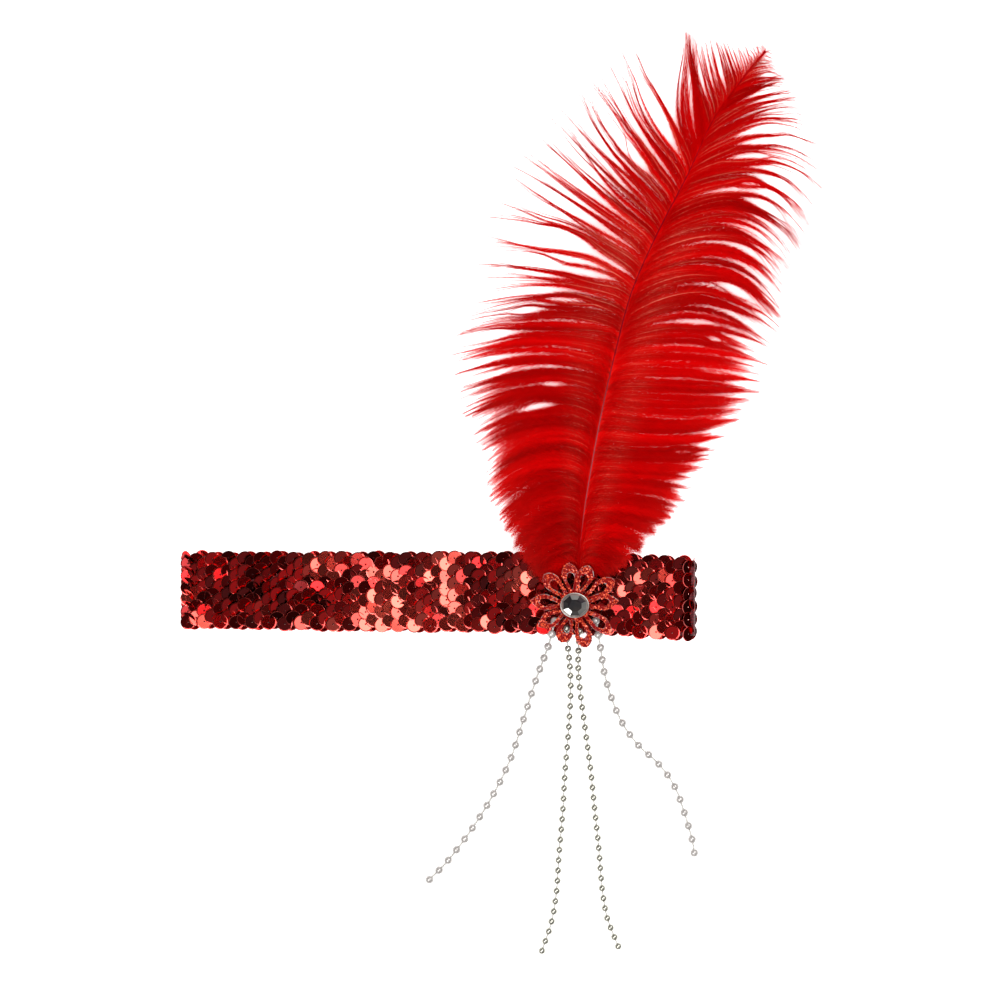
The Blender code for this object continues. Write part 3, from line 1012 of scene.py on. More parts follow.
@dataclass
class Band:
    """The stretch band: a loop of knit laid flat, with six rows of sequins that lap over each other.

    A patch is where the cloth leans to the light: its centre and its radius in millimetres. Leans are turns
    about X and Y in degrees.
    """

    length: float = 247.6 * MM
    width: float = 41.5 * MM
    thickness: float = 8.2 * MM
    head_gap: float = 4.6 * MM
    cloth_wall: float = 0.8 * MM
    cloth_inset: float = 2.4 * MM
    rows: int = 6
    sequin: float = 7.4 * MM
    hole: float = 0.9 * MM
    knot: float = 0.3 * MM
    sides: int = 18
    knot_sides: int = 6
    flat_share: float = 0.86
    rim_rise: float = 0.16 * MM
    pitch: float = 3.85 * MM
    zigzag: float = 1.15 * MM
    proud: float = 0.85 * MM
    end_inset: float = 2.2 * MM
    side_inset: float = 1.1 * MM
    lap: float = 9.0
    scatter: float = 5.0
    up_lift: float = 0.9
    cloth_steps: tuple = (120, 12)
    row_steps: tuple = (240, 24)
    swell_scale: float = 45.0
    swell: float = 2.4
    parity_turn: float = 0.03
    rest_turn: float = 0.175
    flash_gain: float = 4.4
    sections: tuple = (
        BandSection(-1.0, 0.905, 0.041),
        BandSection(-0.1, 0.93, 0.025),
        BandSection(0.55, 0.96, 0.0),
        BandSection(1.0, 0.98, -0.05),
    )
    dull_lean: tuple = (4.0, 4.0)
    dull_patches: tuple = ((-97.0, 6.0, 26.0), (-78.0, -2.0, 22.0))
    flash_lean: tuple = (-13.0, 0.0)
    flash_patches: tuple = (
        (-60.5, 13.0, 5.0), (-51.5, 12.0, 4.5), (-37.4, 19.0, 3.0), (-31.2, 10.5, 3.0),
        (-22.0, 7.0, 4.5), (-38.0, -0.7, 3.0), (-30.5, -0.7, 3.0), (-18.0, -1.0, 4.5),
        (-83.0, -6.5, 3.0), (-119.0, -1.0, 3.0), (-113.5, -12.0, 4.0), (-63.0, -13.5, 3.5),
        (-50.0, -14.5, 3.0), (-34.0, -11.0, 5.0), (-24.0, -11.0, 6.5), (-11.0, -12.0, 5.0),
        (-4.0, 9.0, 3.0), (3.0, 14.0, 5.5), (5.0, 1.0, 6.0), (7.5, -12.0, 5.0),
        (23.0, -15.0, 3.0), (38.0, 5.0, 5.5), (44.5, 9.0, 3.0), (89.5, 4.0, 3.0),
        (98.5, 6.5, 3.5), (108.5, 5.0, 3.0), (96.5, -5.5, 3.0), (103.5, -15.0, 3.5),
    )

    def _read(self, x: float | np.ndarray, column: str) -> float | np.ndarray:
        """Read a column of the sections, with an eased blend between rows.

        Args:
            x: Places along the band.
            column: The column's name.

        Returns:
            The column's values there.
        """
        place = 2 * np.asarray(x) / self.length
        result = np.full(place.shape, getattr(self.sections[-1], column))
        for low, high in reversed(list(zip(self.sections, self.sections[1:]))):
            share = smoothstep((place - low.place) / (high.place - low.place))
            blend = getattr(low, column) * (1 - share) + getattr(high, column) * share
            result = np.where(place <= high.place, blend, result)
        return result

    def half_width(self, x: float | np.ndarray) -> float | np.ndarray:
        """Half of the band's width at x."""
        return self.width / 2 * self._read(x, "width")

    def middle(self, x: float | np.ndarray) -> float | np.ndarray:
        """The middle line's place at x."""
        return self.width * self._read(x, "drift")

    def loop(self, depth: float, steps: int, fold_steps: int) -> tuple[np.ndarray, np.ndarray]:
        """The band's loop seen along Y.

        Args:
            depth: Distance out from the fold's centre.
            steps: Steps along the front and along the back.
            fold_steps: Steps round each fold.

        Returns:
            Points with their x and z, and the outward directions there.
        """
        straight = self.length / 2 - self.thickness / 2
        across = np.linspace(-straight, straight, steps + 1)
        turns = np.linspace(0.0, 180.0, fold_steps + 1)[1:-1]
        stops = [(x, 90.0) for x in across]
        stops += [(straight, 90.0 - turn) for turn in turns]
        stops += [(-x, -90.0) for x in across]
        stops += [(-straight, -90.0 - turn) for turn in turns]
        centres = np.array([stop[0] for stop in stops])
        angles = np.radians([stop[1] for stop in stops])
        out = np.stack([np.cos(angles), np.sin(angles)], axis=1)
        points = np.stack([centres, np.full(len(stops), self.thickness / 2)], axis=1) + out * depth
        return points, out

    def build(self) -> None:
        """Make the knit and its sequins."""
        cloth = self._cloth()
        sequins = self._sequins()
        for piece in (cloth, sequins):
            seat(piece, Slot.SEQUIN, "sequin_band")

    def _cloth(self) -> bpy.types.Object:
        """The knit: a closed wall round the head opening.

        Returns:
            The knit.
        """
        inner, _ = self.loop(self.head_gap / 2, *self.cloth_steps)
        outer, _ = self.loop(self.head_gap / 2 + self.cloth_wall, *self.cloth_steps)
        shares = np.linspace(-1.0, 1.0, 9)
        rings = []
        for (inner_x, inner_z), (outer_x, outer_z) in zip(inner, outer):
            rows = self.middle(outer_x) + (self.half_width(outer_x) - self.cloth_inset) * shares
            ring = [(outer_x, y, outer_z) for y in rows]
            rings.append(ring + [(inner_x, y, inner_z) for y in reversed(rows)])
        return skin("band_knit", rings, ClothFinish().material(), closed=True)

    def _sequin_shape(self) -> bpy.types.Object:
        """One sequin: a flat disc with a shallow turned-up rim, and the knot of its stitch in its hole.

        Returns:
            The sequin, whose points say what is rim and what is stitch.
        """
        radius = self.sequin / 2
        profile = ((self.hole / 2, 0.0), (radius * self.flat_share, 0.0), (radius, self.rim_rise))
        points, faces = loft([circle(size, self.sides, z) for size, z in profile], capped=False)
        faces = [face[::-1] for face in faces]
        first = len(points)
        points += [*circle(self.knot, self.knot_sides, 0.0), (0.0, 0.0, self.knot)]
        steps = self.knot_sides
        faces += [(first + step, first + (step + 1) % steps, first + steps) for step in range(steps)]
        mesh = mesh_of("sequin_shape", points, faces)
        places = np.arange(len(points))
        keep_values(mesh, "stitch", places >= first)
        keep_values(mesh, "edge", (places >= first - self.sides) & (places < first))
        return new_object("sequin_shape", mesh)

    def _row_guides(self) -> bpy.types.Object:
        """A line round the loop for each row, with the outward direction and the lean of the cloth.

        Returns:
            The guide object.
        """
        flat, out = self.loop(self.head_gap / 2 + self.cloth_wall + self.proud, *self.row_steps)
        flat = np.vstack([flat, flat[:1]])
        out = np.vstack([out, out[:1]])
        x = flat[:, 0] - np.sign(flat[:, 0]) * self.end_inset * np.abs(out[:, 0])
        lifted = np.stack([out[:, 0], np.zeros(len(x)), out[:, 1]], axis=1)
        lifted[:, 2] += self.up_lift * smoothstep((out[:, 1] + 0.3) / 0.3)
        lifted /= np.linalg.norm(lifted, axis=1, keepdims=True)
        reach = self.half_width(x) - self.sequin / 2 - self.side_inset
        rows = [self.middle(x) + reach * share for share in np.linspace(-1.0, 1.0, self.rows)]
        lines = [np.stack([x, y, flat[:, 1]], axis=1) for y in rows]
        leans = [self._lean(x, y, out[:, 1]) for y in rows]
        return guide_lines("sequin_rows", lines, {"out": [lifted] * self.rows, "lean": leans})

    def _lean(self, x: np.ndarray, y: np.ndarray, front: np.ndarray) -> np.ndarray:
        """How far the cloth leans to the light.

        Args:
            x: Places along the band.
            y: Places across it.
            front: 1 on the front layer, 0 or less at the folds and the back.

        Returns:
            Turns about X and Y in radians, as vectors.
        """
        patches = [(*patch, self.dull_lean) for patch in self.dull_patches]
        patches += [(*patch, self.flash_lean) for patch in self.flash_patches]
        lean = np.zeros((len(x), 3))
        for middle_x, middle_y, radius, turns in patches:
            distance = np.hypot(x - middle_x * MM, y - middle_y * MM) / (radius * MM)
            share = np.exp(-(distance**2)) * np.clip(front, 0, 1)
            lean[:, :2] += share[:, None] * np.radians(turns)
        return lean

    def _sequin_tree(self) -> GeometryTree:
        """The tree that sews sequins along the rows.

        Returns:
            The tree.
        """
        tree = GeometryTree("sew_sequins")
        shape = tree.shape("Sequin")
        pitch, zigzag, lap, scatter = tree.numbers("Pitch", "Zigzag", "Lap", "Scatter")
        stitched = tree.stations(tree.lines(), pitch)
        out = tree.read("out", "FLOAT_VECTOR")
        leans = tree.parts(tree.read("lean", "FLOAT_VECTOR"))
        tangent = tree.out("GeometryNodeInputTangent")
        parity = tree.math("FLOORED_MODULO", tree.out("GeometryNodeInputIndex"), 2.0) * 2.0 - 1.0
        across = tree.vector("CROSS_PRODUCT", out, tangent)
        offset = {0: across, "Scale": (parity + tree.random(-0.5, 0.5, 11)) * zigzag}
        moved = tree.moved(stitched, tree.out("ShaderNodeVectorMath", {"operation": "SCALE"}, offset))
        noise = {"Vector": tree.out("GeometryNodeInputPosition"), "Scale": self.swell_scale, "Detail": 1.0}
        swells = tree.parts(tree.out("ShaderNodeTexNoise", {}, noise, output="Color"))
        turn_x = (swells[0] - 0.5) * scatter * self.swell + leans[0]
        turn_y = (swells[1] - 0.5) * scatter * self.swell + leans[1]
        turn_x = turn_x + tree.random(-1.0, 1.0, 21) * scatter + parity * self.parity_turn + self.rest_turn
        turn_y = turn_y + tree.random(-1.0, 1.0, 22) * scatter + lap
        turned = tree.turn(tree.facing(tangent, out), turn_x, turn_y, tree.random(-0.6, 0.6, 23))
        shaded = tree.store(tree.copies(moved, shape, turned), "shade", tree.random(0.0, 1.0, 24))
        # Painted flash: how far a sequin leans to the light sets its share of the paler flash colour.
        facing = tree.math("MINIMUM", tree.math("MAXIMUM", leans[0] * -self.flash_gain, 0.0), 1.0)
        tree.close(tree.store(shaded, "flash", facing))
        return tree

    def _sequins(self) -> bpy.types.Object:
        """Sew the sequins on, all round the loop.

        Returns:
            The sequins.
        """
        sizes = {
            "Sequin": self._sequin_shape(),
            "Pitch": self.pitch,
            "Zigzag": self.zigzag,
            "Lap": math.radians(self.lap),
            "Scatter": math.radians(self.scatter),
        }
        finish = SequinFinish().material()
        piece = self._sequin_tree().make(self._row_guides(), "band_sequins", sizes, finish)
        keep_above_floor(piece.data)
        return piece


class QuillPoint(NamedTuple):
    """A point of the quill as shares of the plume's lean, its rise and the quill's height at its base."""

    lean: float
    rise: float
    height: float


class LockRow(NamedTuple):
    """How the barbs lie where the quill has run a share of its length.

    Each side has its own values, as shares of the barbs' reach: ahead along the quill, out beside it, and the
    bow between. Its fluff is the barbules' length as a share of the longest.
    """

    root: float
    ahead_l: float
    reach_l: float
    arch_l: float
    fluff_l: float
    ahead_r: float
    reach_r: float
    arch_r: float
    fluff_r: float


class Parting(NamedTuple):
    """A gap between locks: its centre, length and width in millimetres, and its direction in degrees."""

    x: float
    y: float
    length: float
    width: float
    angle: float


class Tuft(NamedTuple):
    """Barbs between two shares of the quill's length that hang together as one tuft.

    The last two values say how far the tuft lies ahead of the other barbs, and beyond their reach.
    """

    side: Side
    low: float
    high: float
    ahead: float = 0.0
    beyond: float = 0.0


class SideLook(NamedTuple):
    """What sets one side's barbs apart.

    The least number of barbs in a group, the length of the outer barbules, the strength of the painted glint
    near the quill, and how much deeper the upper barbs and how much lighter all of them are.
    """

    least: int
    outer: float
    glint: float
    upper_shade: float = 0.0
    lift: float = 0.0


@dataclass
class Plume:
    """One ostrich plume: a tapering quill with fine barbs on both sides, gathered into locks."""

    base: tuple = (65.5 * MM, -1.7 * MM)
    lean: float = 91.0 * MM
    rise: float = 261.7 * MM
    seat: float = 10.2 * MM
    base_radius: float = 1.1 * MM
    tip_radius: float = 0.4 * MM
    barb_reach: float = 78.0 * MM
    layer_spacing: float = 2.6 * MM
    droop_run: float = 15.0 * MM
    band_edge: float = 20.0 * MM
    tip_height: float = 0.7 * MM
    barbs: int = 680
    barb_steps: int = 20
    shaft: float = 0.24 * MM
    barbule: float = 5.6 * MM
    barbule_width: float = 0.4 * MM
    barbule_pitch: float = 0.33 * MM
    barbule_pitch: float = 0.33 * MM
    sweep: float = 30.0
    spring: float = 2.6 * MM
    spring_run: float = 0.07
    wobble: float = 0.8 * MM
    seed: int = 5
    last_root: float = 0.995
    thin_from: float = 0.93
    least_fluff: float = 0.48
    strand_spread: tuple = (0.035, 0.0, 0.02)
    group_spread: tuple = (0.012, 0.0, 0.01)
    barb_spread: tuple = (0.02, 0.0, 0.01)
    drawn_spread: tuple = (0.2, 1.0, 0.2)
    strand_start: tuple = (0.2, 0.42)
    strand_run: float = 0.4
    tuft_start: float = 0.15
    tuft_run: float = 0.85
    tuft_hold: float = 0.95
    tuft_fluff: float = 0.56
    strays: float = 0.05
    stray_hold: float = 0.1
    firmness: tuple = (0.4, 0.95)
    wobble_turns: float = 7.0
    foot_shade: float = 0.6
    foot: float = 0.16
    line_glint: float = 0.6
    line_width: float = 0.5
    looks: dict = field(
        default_factory=lambda: {
            Side.LEFT: SideLook(3, 0.25, 0.35),
            Side.RIGHT: SideLook(4, 0.19, 0.5, upper_shade=0.2, lift=0.12),
        }
    )
    parts: tuple = (0.0, 0.34, 0.56, 1.0)
    quill: tuple = (
        QuillPoint(0.0, 0.0, 1.0), QuillPoint(0.03, 0.12, 1.0), QuillPoint(0.067, 0.21, 0.96),
        QuillPoint(0.133, 0.334, 0.88), QuillPoint(0.209, 0.45, 0.8), QuillPoint(0.296, 0.56, 0.71),
        QuillPoint(0.436, 0.67, 0.62), QuillPoint(0.589, 0.773, 0.52), QuillPoint(0.718, 0.87, 0.43),
        QuillPoint(0.87, 0.945, 0.36), QuillPoint(1.0, 1.0, 0.31),
    )
    locks: tuple = (
        LockRow(0.035, -0.05, 0.16, 0.02, 1.25, 0.01, 0.17, 0.03, 1.25),
        LockRow(0.063, -0.09, 0.25, 0.04, 1.25, 0.01, 0.28, 0.04, 1.25),
        LockRow(0.106, -0.13, 0.38, 0.08, 1.2, 0.02, 0.42, 0.04, 1.2),
        LockRow(0.152, -0.17, 0.49, 0.11, 1.1, 0.04, 0.55, 0.03, 1.1),
        LockRow(0.192, -0.17, 0.57, 0.12, 1, 0.07, 0.64, 0.02, 1),
        LockRow(0.232, -0.17, 0.63, 0.12, 1, 0.15, 0.71, -0.02, 1),
        LockRow(0.270, -0.17, 0.7, 0.11, 1, 0.16, 0.75, -0.04, 1),
        LockRow(0.305, -0.18, 0.77, 0.11, 0.95, 0.17, 0.81, -0.04, 1),
        LockRow(0.339, -0.21, 0.82, 0.1, 0.88, 0.2, 0.88, -0.02, 0.98),
        LockRow(0.374, -0.19, 0.88, 0.08, 0.84, 0.19, 0.9, 0.01, 0.98),
        LockRow(0.413, -0.2, 0.91, 0.07, 0.78, 0.19, 0.89, 0.06, 0.95),
        LockRow(0.452, -0.22, 0.92, 0.07, 0.7, 0.18, 0.89, 0.14, 0.88),
        LockRow(0.490, -0.17, 0.95, 0.05, 0.63, 0.2, 0.9, 0.17, 0.86),
        LockRow(0.529, -0.14, 0.93, 0.03, 0.58, 0.2, 0.885, 0.18, 0.83),
        LockRow(0.556, 0.04, 0.955, 0.02, 0.55, 0.21, 0.875, 0.19, 0.8),
        LockRow(0.583, 0.16, 0.94, 0, 0.54, 0.23, 0.865, 0.2, 0.75),
        LockRow(0.610, 0.27, 0.9, -0.03, 0.54, 0.25, 0.855, 0.2, 0.71),
        LockRow(0.637, 0.32, 0.84, -0.04, 0.54, 0.26, 0.83, 0.2, 0.68),
        LockRow(0.665, 0.39, 0.81, -0.04, 0.54, 0.25, 0.82, 0.2, 0.65),
        LockRow(0.700, 0.45, 0.75, -0.04, 0.53, 0.26, 0.79, 0.19, 0.61),
        LockRow(0.733, 0.52, 0.67, -0.04, 0.52, 0.32, 0.74, 0.15, 0.59),
        LockRow(0.757, 0.51, 0.6, -0.03, 0.51, 0.38, 0.67, 0.12, 0.57),
        LockRow(0.779, 0.57, 0.47, -0.03, 0.48, 0.42, 0.58, 0.1, 0.55),
        LockRow(0.800, 0.635, 0.335, -0.03, 0.48, 0.45, 0.48, 0.08, 0.55),
        LockRow(0.830, 0.45, 0.34, -0.02, 0.46, 0.43, 0.37, 0.06, 0.53),
        LockRow(0.864, 0.33, 0.31, -0.02, 0.44, 0.38, 0.27, 0.04, 0.5),
        LockRow(0.905, 0.22, 0.25, 0, 0.4, 0.28, 0.2, 0.03, 0.44),
        LockRow(0.942, 0.14, 0.15, 0, 0.38, 0.18, 0.13, 0.02, 0.38),
        LockRow(0.971, 0.07, 0.09, 0, 0.34, 0.09, 0.09, 0, 0.34),
        LockRow(1.0, 0.04, 0.03, 0, 0.2, 0.04, 0.03, 0, 0.2),
    )
    partings: tuple = (
        Parting(68.0, 159.0, 34.0, 5.0, -12.0), Parting(63.0, 171.0, 30.0, 6.0, -28.0),
        Parting(73.0, 153.0, 24.0, 5.0, -8.0), Parting(62.0, 140.5, 24.0, 4.5, -10.0),
        Parting(42.0, 135.5, 16.0, 4.0, -4.0), Parting(22.0, 123.5, 30.0, 5.0, 0.0),
        Parting(55.0, 99.3, 12.0, 3.2, -5.0), Parting(47.0, 89.5, 22.0, 5.5, 12.0),
        Parting(82.0, 224.0, 36.0, 7.0, -56.0), Parting(94.5, 209.5, 22.0, 6.0, -60.0),
        Parting(104.0, 228.0, 40.0, 7.0, -66.0), Parting(148.0, 209.5, 24.0, 5.0, 0.0),
        Parting(153.0, 221.0, 26.0, 6.0, 20.0), Parting(151.0, 216.0, 18.0, 4.0, 12.0),
        Parting(148.0, 196.0, 16.0, 4.0, -5.0), Parting(156.0, 185.5, 32.0, 6.0, -28.0),
        Parting(142.0, 144.0, 28.0, 6.0, -6.0), Parting(131.5, 122.0, 12.0, 4.0, 0.0),
        Parting(124.0, 129.5, 22.0, 3.4, 12.0), Parting(132.5, 105.5, 20.0, 3.4, 8.0),
        Parting(117.0, 68.0, 18.0, 3.6, 10.0),
    )
    tufts: tuple = (Tuft(Side.LEFT, 0.766, 0.83), Tuft(Side.RIGHT, 0.856, 0.886, beyond=-0.2))

    def __post_init__(self) -> None:
        """Work out the quill's path and the places along a barb."""
        points = np.array(self.quill) * (self.lean, self.rise, self.seat) + (*self.base, 0.0)
        self.path = smooth_path(points, 12)
        self.lengths = lengths_along(self.path)
        self.share = np.linspace(0.0, 1.0, self.barb_steps + 1)

    def build(self) -> None:
        """Make the quill and the barbs of both sides."""
        seat(self._shaft(), Slot.FEATHER, "plume")
        tree = self._barb_tree()
        finish = FeatherFinish().material()
        sizes = {"Shaft": self.shaft, "Pitch": self.barbule_pitch, "Length": self.barbule}
        for side in Side:
            for part, (low, high) in enumerate(zip(self.parts, self.parts[1:])):
                guide = self._barb_guides(side, low, high)
                name = f"barbs_{side.name.lower()}_{part}"
                piece = tree.make(guide, name, {"Barbule": self._barbule_shape(), **sizes}, finish)
                keep_above_floor(piece.data)
                seat(piece, Slot.FEATHER, "plume")

    def _radius(self, share: float | np.ndarray) -> float | np.ndarray:
        """The quill's radius at a share of its length."""
        return self.base_radius + (self.tip_radius - self.base_radius) * share

    def _shaft(self) -> bpy.types.Object:
        """The quill's tapering shaft.

        Returns:
            The shaft.
        """
        up = np.array([0.0, 0.0, 1.0])
        shares = self.lengths / self.lengths[-1]
        rings = []
        for point, ahead, share in zip(self.path, np.gradient(self.path, axis=0), shares):
            beside = np.array([-ahead[1], ahead[0], 0.0]) / math.hypot(ahead[0], ahead[1])
            turned = circle(self._radius(share), 10, 0.0)
            rings.append([tuple(point + x * beside + y * up) for x, y, _ in turned])
        return skin("quill_shaft", rings, QuillFinish().material())

    def _read(self, roots: np.ndarray, column: str, side: Side) -> np.ndarray:
        """Read one side's column of the locks at places along the quill."""
        name = f"{column}_{side.name[0].lower()}"
        return np.interp(roots, [row.root for row in self.locks], [getattr(row, name) for row in self.locks])

    def _frame_at(self, roots: np.ndarray) -> tuple[np.ndarray, np.ndarray, np.ndarray]:
        """The quill's frame at shares of its length.

        Args:
            roots: The shares.

        Returns:
            The quill's points, its flat direction and the direction to its left.
        """
        whole = self.lengths[-1]
        points = at_length(self.path, self.lengths, roots * whole)
        ahead = at_length(self.path, self.lengths, (roots + 0.015) * whole)
        behind = at_length(self.path, self.lengths, (roots - 0.015) * whole)
        along = ahead - behind
        along[:, 2] = 0.0
        along /= np.linalg.norm(along, axis=1, keepdims=True)
        left = np.stack([-along[:, 1], along[:, 0], np.zeros(len(roots))], axis=1)
        return points, along, left

    def _lay(self, roots: np.ndarray, side: Side, shift: np.ndarray) -> np.ndarray:
        """Lay barbs out flat.

        Args:
            roots: Where each barb leaves the quill, as a share of the quill's length.
            side: The quill's side.
            shift: Changes of ahead, reach and arch for each barb.

        Returns:
            Points as barbs by places by coordinates.
        """
        share = self.share
        points, along, left = self._frame_at(roots)
        beside = left * side.value
        radius = self._radius(roots)
        points = points + beside * (radius * (0.12 + 0.3 * roots))[:, None]
        points[:, 2] += radius * (0.8 + 0.1 * roots)
        reach = self._read(roots, "reach", side) * (1 + shift[:, 1]) * self.barb_reach
        ahead = self._read(roots, "ahead", side) * self.barb_reach + shift[:, 0] * reach
        arch = self._read(roots, "arch", side) * self.barb_reach + shift[:, 2] * reach
        run = along * ahead[:, None] + beside * reach[:, None]
        bow = along * arch[:, None]
        high = 1 - smoothstep((points[:, 1] + run[:, 1] - self.band_edge) / self.droop_run)
        low = self.tip_height + (points[:, 2] - self.tip_height) * high
        curve = 4 * share * (1 - share)
        spring = (1 - np.exp(-share / self.spring_run)) * (1 - share) * self.spring
        laid = points[:, None, :] + run[:, None, :] * share[:, None] + bow[:, None, :] * curve[:, None]
        laid += along[:, None, :] * spring[None, :, None]
        laid[:, :, 2] = points[:, 2:3] + (low - points[:, 2])[:, None] * share[None, :] ** 2
        return laid

    def _part(self, laid: np.ndarray, firmness: np.ndarray) -> None:
        """Push the barbs out of the partings, in place. A barb keeps to one side of each parting.

        Args:
            laid: Points as barbs by places by coordinates.
            firmness: For each barb, how far it follows the push.
        """
        for parting in self.partings:
            turn = math.radians(parting.angle)
            x = laid[:, :, 0] - parting.x * MM
            y = laid[:, :, 1] - parting.y * MM
            inside = x * math.cos(turn) + y * math.sin(turn)
            across = y * math.cos(turn) - x * math.sin(turn)
            shape = np.clip(1 - (2 * inside / (parting.length * MM)) ** 2, 0, 1)
            middle = (across * shape).sum(axis=1) / (shape.sum(axis=1) + 1e-9)
            half = parting.width * MM / 2
            share = np.clip(1 - np.abs(middle) / (3.2 * half), 0, 1) * np.where(middle >= 0, 1.0, -1.0)
            push = half * (share * firmness)[:, None] * shape
            laid[:, :, 0] -= push * math.sin(turn)
            laid[:, :, 1] += push * math.cos(turn)

    @staticmethod
    def _bundle(rng: np.random.Generator, count: int, least: int, most: int) -> np.ndarray:
        """Number things in a row by bundles of random size."""
        return np.repeat(np.arange(count), rng.integers(least, most + 1, count))[:count]

    def _group(self, rng: np.random.Generator, roots: np.ndarray, side: Side) -> np.ndarray:
        """Number the barbs by groups of three to six. A tuft's barbs are one group.

        Args:
            rng: The source of chance.
            roots: Where each barb leaves the quill, as a share of the quill's length.
            side: The quill's side.

        Returns:
            Each barb's number.
        """
        least = self.looks[side].least
        numbers = self._bundle(rng, len(roots), least, least + 2)
        for tuft in self.tufts:
            if tuft.side is side:
                inside = (roots >= tuft.low) & (roots < tuft.high)
                numbers[inside] = numbers[inside].min()
        return np.unique(numbers, return_inverse=True)[1]

    def _gather(
        self, rng: np.random.Generator, roots: np.ndarray, groups: np.ndarray, fluff: np.ndarray, side: Side
    ) -> np.ndarray:
        """Lay the barbs out and draw them together, in groups and then in strands.

        Args:
            rng: The source of chance.
            roots: Where each barb leaves the quill, as a share of the quill's length.
            groups: The number of each barb's group.
            fluff: Each barb's fluff. A tuft's own is written to it.
            side: The quill's side.

        Returns:
            Points as barbs by places by coordinates.
        """
        share = self.share
        count = groups[-1] + 1
        centres = np.array([roots[groups == group].mean() for group in range(count)])[groups]
        strands = self._bundle(rng, count, 1, 2)[groups]
        whole = strands[-1] + 1
        middles = np.array([roots[strands == strand].mean() for strand in range(whole)])[strands]
        dense = np.clip(fluff, self.least_fluff, 1.0)
        close = np.minimum(0.92, 4.0 * (1.07 - dense))
        together = (1.74 - 1.69 * dense) * rng.uniform(0.9, 1.1, whole)[strands]
        begin = rng.uniform(*self.strand_start, whole)[strands]
        run = np.full(self.barbs, self.strand_run)
        loose = (1.4 - fluff - np.clip(fluff - 0.85, 0, 0.15))[:, None]
        strand_shift = rng.normal(0.0, 1.0, (whole, 3))[strands] * self.strand_spread * loose
        strand_shift += rng.normal(0.0, 1.0, (count, 3))[groups] * self.group_spread * loose
        own_shift = rng.normal(0.0, 1.0, (self.barbs, 3)) * self.barb_spread * loose
        strand_shift[:, 1] = 0.2 - 0.17 * fluff - 0.13 * rng.random(count)[groups] ** 2
        own_shift[:, 1] = -(0.04 + 0.1 * fluff) * rng.random(self.barbs) ** 2
        for tuft in self.tufts:
            inside = (roots >= tuft.low) & (roots < tuft.high) & (tuft.side is side)
            begin[inside] = self.tuft_start
            run[inside] = self.tuft_run
            together[inside] = self.tuft_hold
            fluff[inside] = self.tuft_fluff
            own_shift[inside, 1] *= 3.0
            close[inside] = 0.0
            strand_shift[inside, 0] = tuft.ahead
            strand_shift[inside, 1] += tuft.beyond
        stray = rng.random(self.barbs) < self.strays
        together = np.where(stray, self.stray_hold, np.clip(together, 0, 0.96))
        close[stray] = 0.0
        own_shift[stray] *= 2.0
        drawn_shift = strand_shift + own_shift * self.drawn_spread
        own = self._lay(roots, side, strand_shift + own_shift)
        near = self._lay(centres, side, drawn_shift)
        far = self._lay(middles, side, drawn_shift)
        late = (0.24 - 0.2 * dense)[:, None]
        first = smoothstep((share - late) / 0.28) * close[:, None]
        pull = smoothstep((share - begin[:, None]) / run[:, None]) * together[:, None]
        pull += smoothstep((share - 0.75) / 0.25) * np.clip(0.6 - together, 0, 1)[:, None]
        laid = own + (near - own) * first[:, :, None]
        laid += (far - laid) * pull[:, :, None]
        laid[:, :, 2] = own[:, :, 2]
        phase = rng.uniform(0, math.tau, (self.barbs, 1)) * 0.3
        phase = phase + rng.uniform(0, math.tau, count)[groups][:, None]
        laid[:, :, 1] += np.sin(phase + share * self.wobble_turns) * share * loose * self.wobble
        self._part(laid, rng.uniform(*self.firmness, self.barbs))
        layer = np.sin(groups * 2.4) * 0.7 + rng.uniform(-0.5, 0.5, self.barbs)
        laid[:, :, 2] += layer[:, None] * self.layer_spacing / 2 * np.sin(math.pi * share)
        return laid

    def _hues(
        self, rng: np.random.Generator, roots: np.ndarray, groups: np.ndarray, side: Side
    ) -> np.ndarray:
        """How light each barb is: darker at the plume's foot, as painted shade over the band, and on the
        upper right.

        Args:
            rng: The source of chance.
            roots: Where each barb leaves the quill, as a share of the quill's length.
            groups: The number of each barb's group.
            side: The quill's side.

        Returns:
            Each barb's hue, from 0 for deep to 1 for light.
        """
        look = self.looks[side]
        # Painted shade: barbs near the plume's foot, over the band, are darkened.
        shaded = self.foot_shade * (1 - smoothstep(roots / self.foot))
        shaded += look.upper_shade * smoothstep((roots - 0.45) / 0.2) - look.lift
        group_hue = rng.normal(0.5, 0.24, groups[-1] + 1)[groups]
        return np.clip(group_hue + rng.normal(0, 0.28, self.barbs) - shaded, 0, 1)

    def _barbules(self, fluff: np.ndarray, side: Side) -> np.ndarray:
        """How long the barbules are: full near the quill, short further out, tapering at the tips.

        Args:
            fluff: Each barb's fluff.
            side: The quill's side.

        Returns:
            Shares of the longest, as barbs by places.
        """
        fluff = fluff[:, None]
        inner = np.minimum(1.3 * fluff, np.maximum(fluff, 1.0))
        outer = self.looks[side].outer + 1.5 * np.clip(fluff - 0.74, 0.0, 0.5)
        opening = 0.16 + 0.9 * (fluff - self.least_fluff)
        grown = inner + (outer - inner) * smoothstep((self.share - opening) / 0.45)
        taper = 0.3 + 0.5 * fluff
        return grown * (1 - (1.15 - 0.4 * fluff) * smoothstep((self.share - taper) / (1 - taper)))

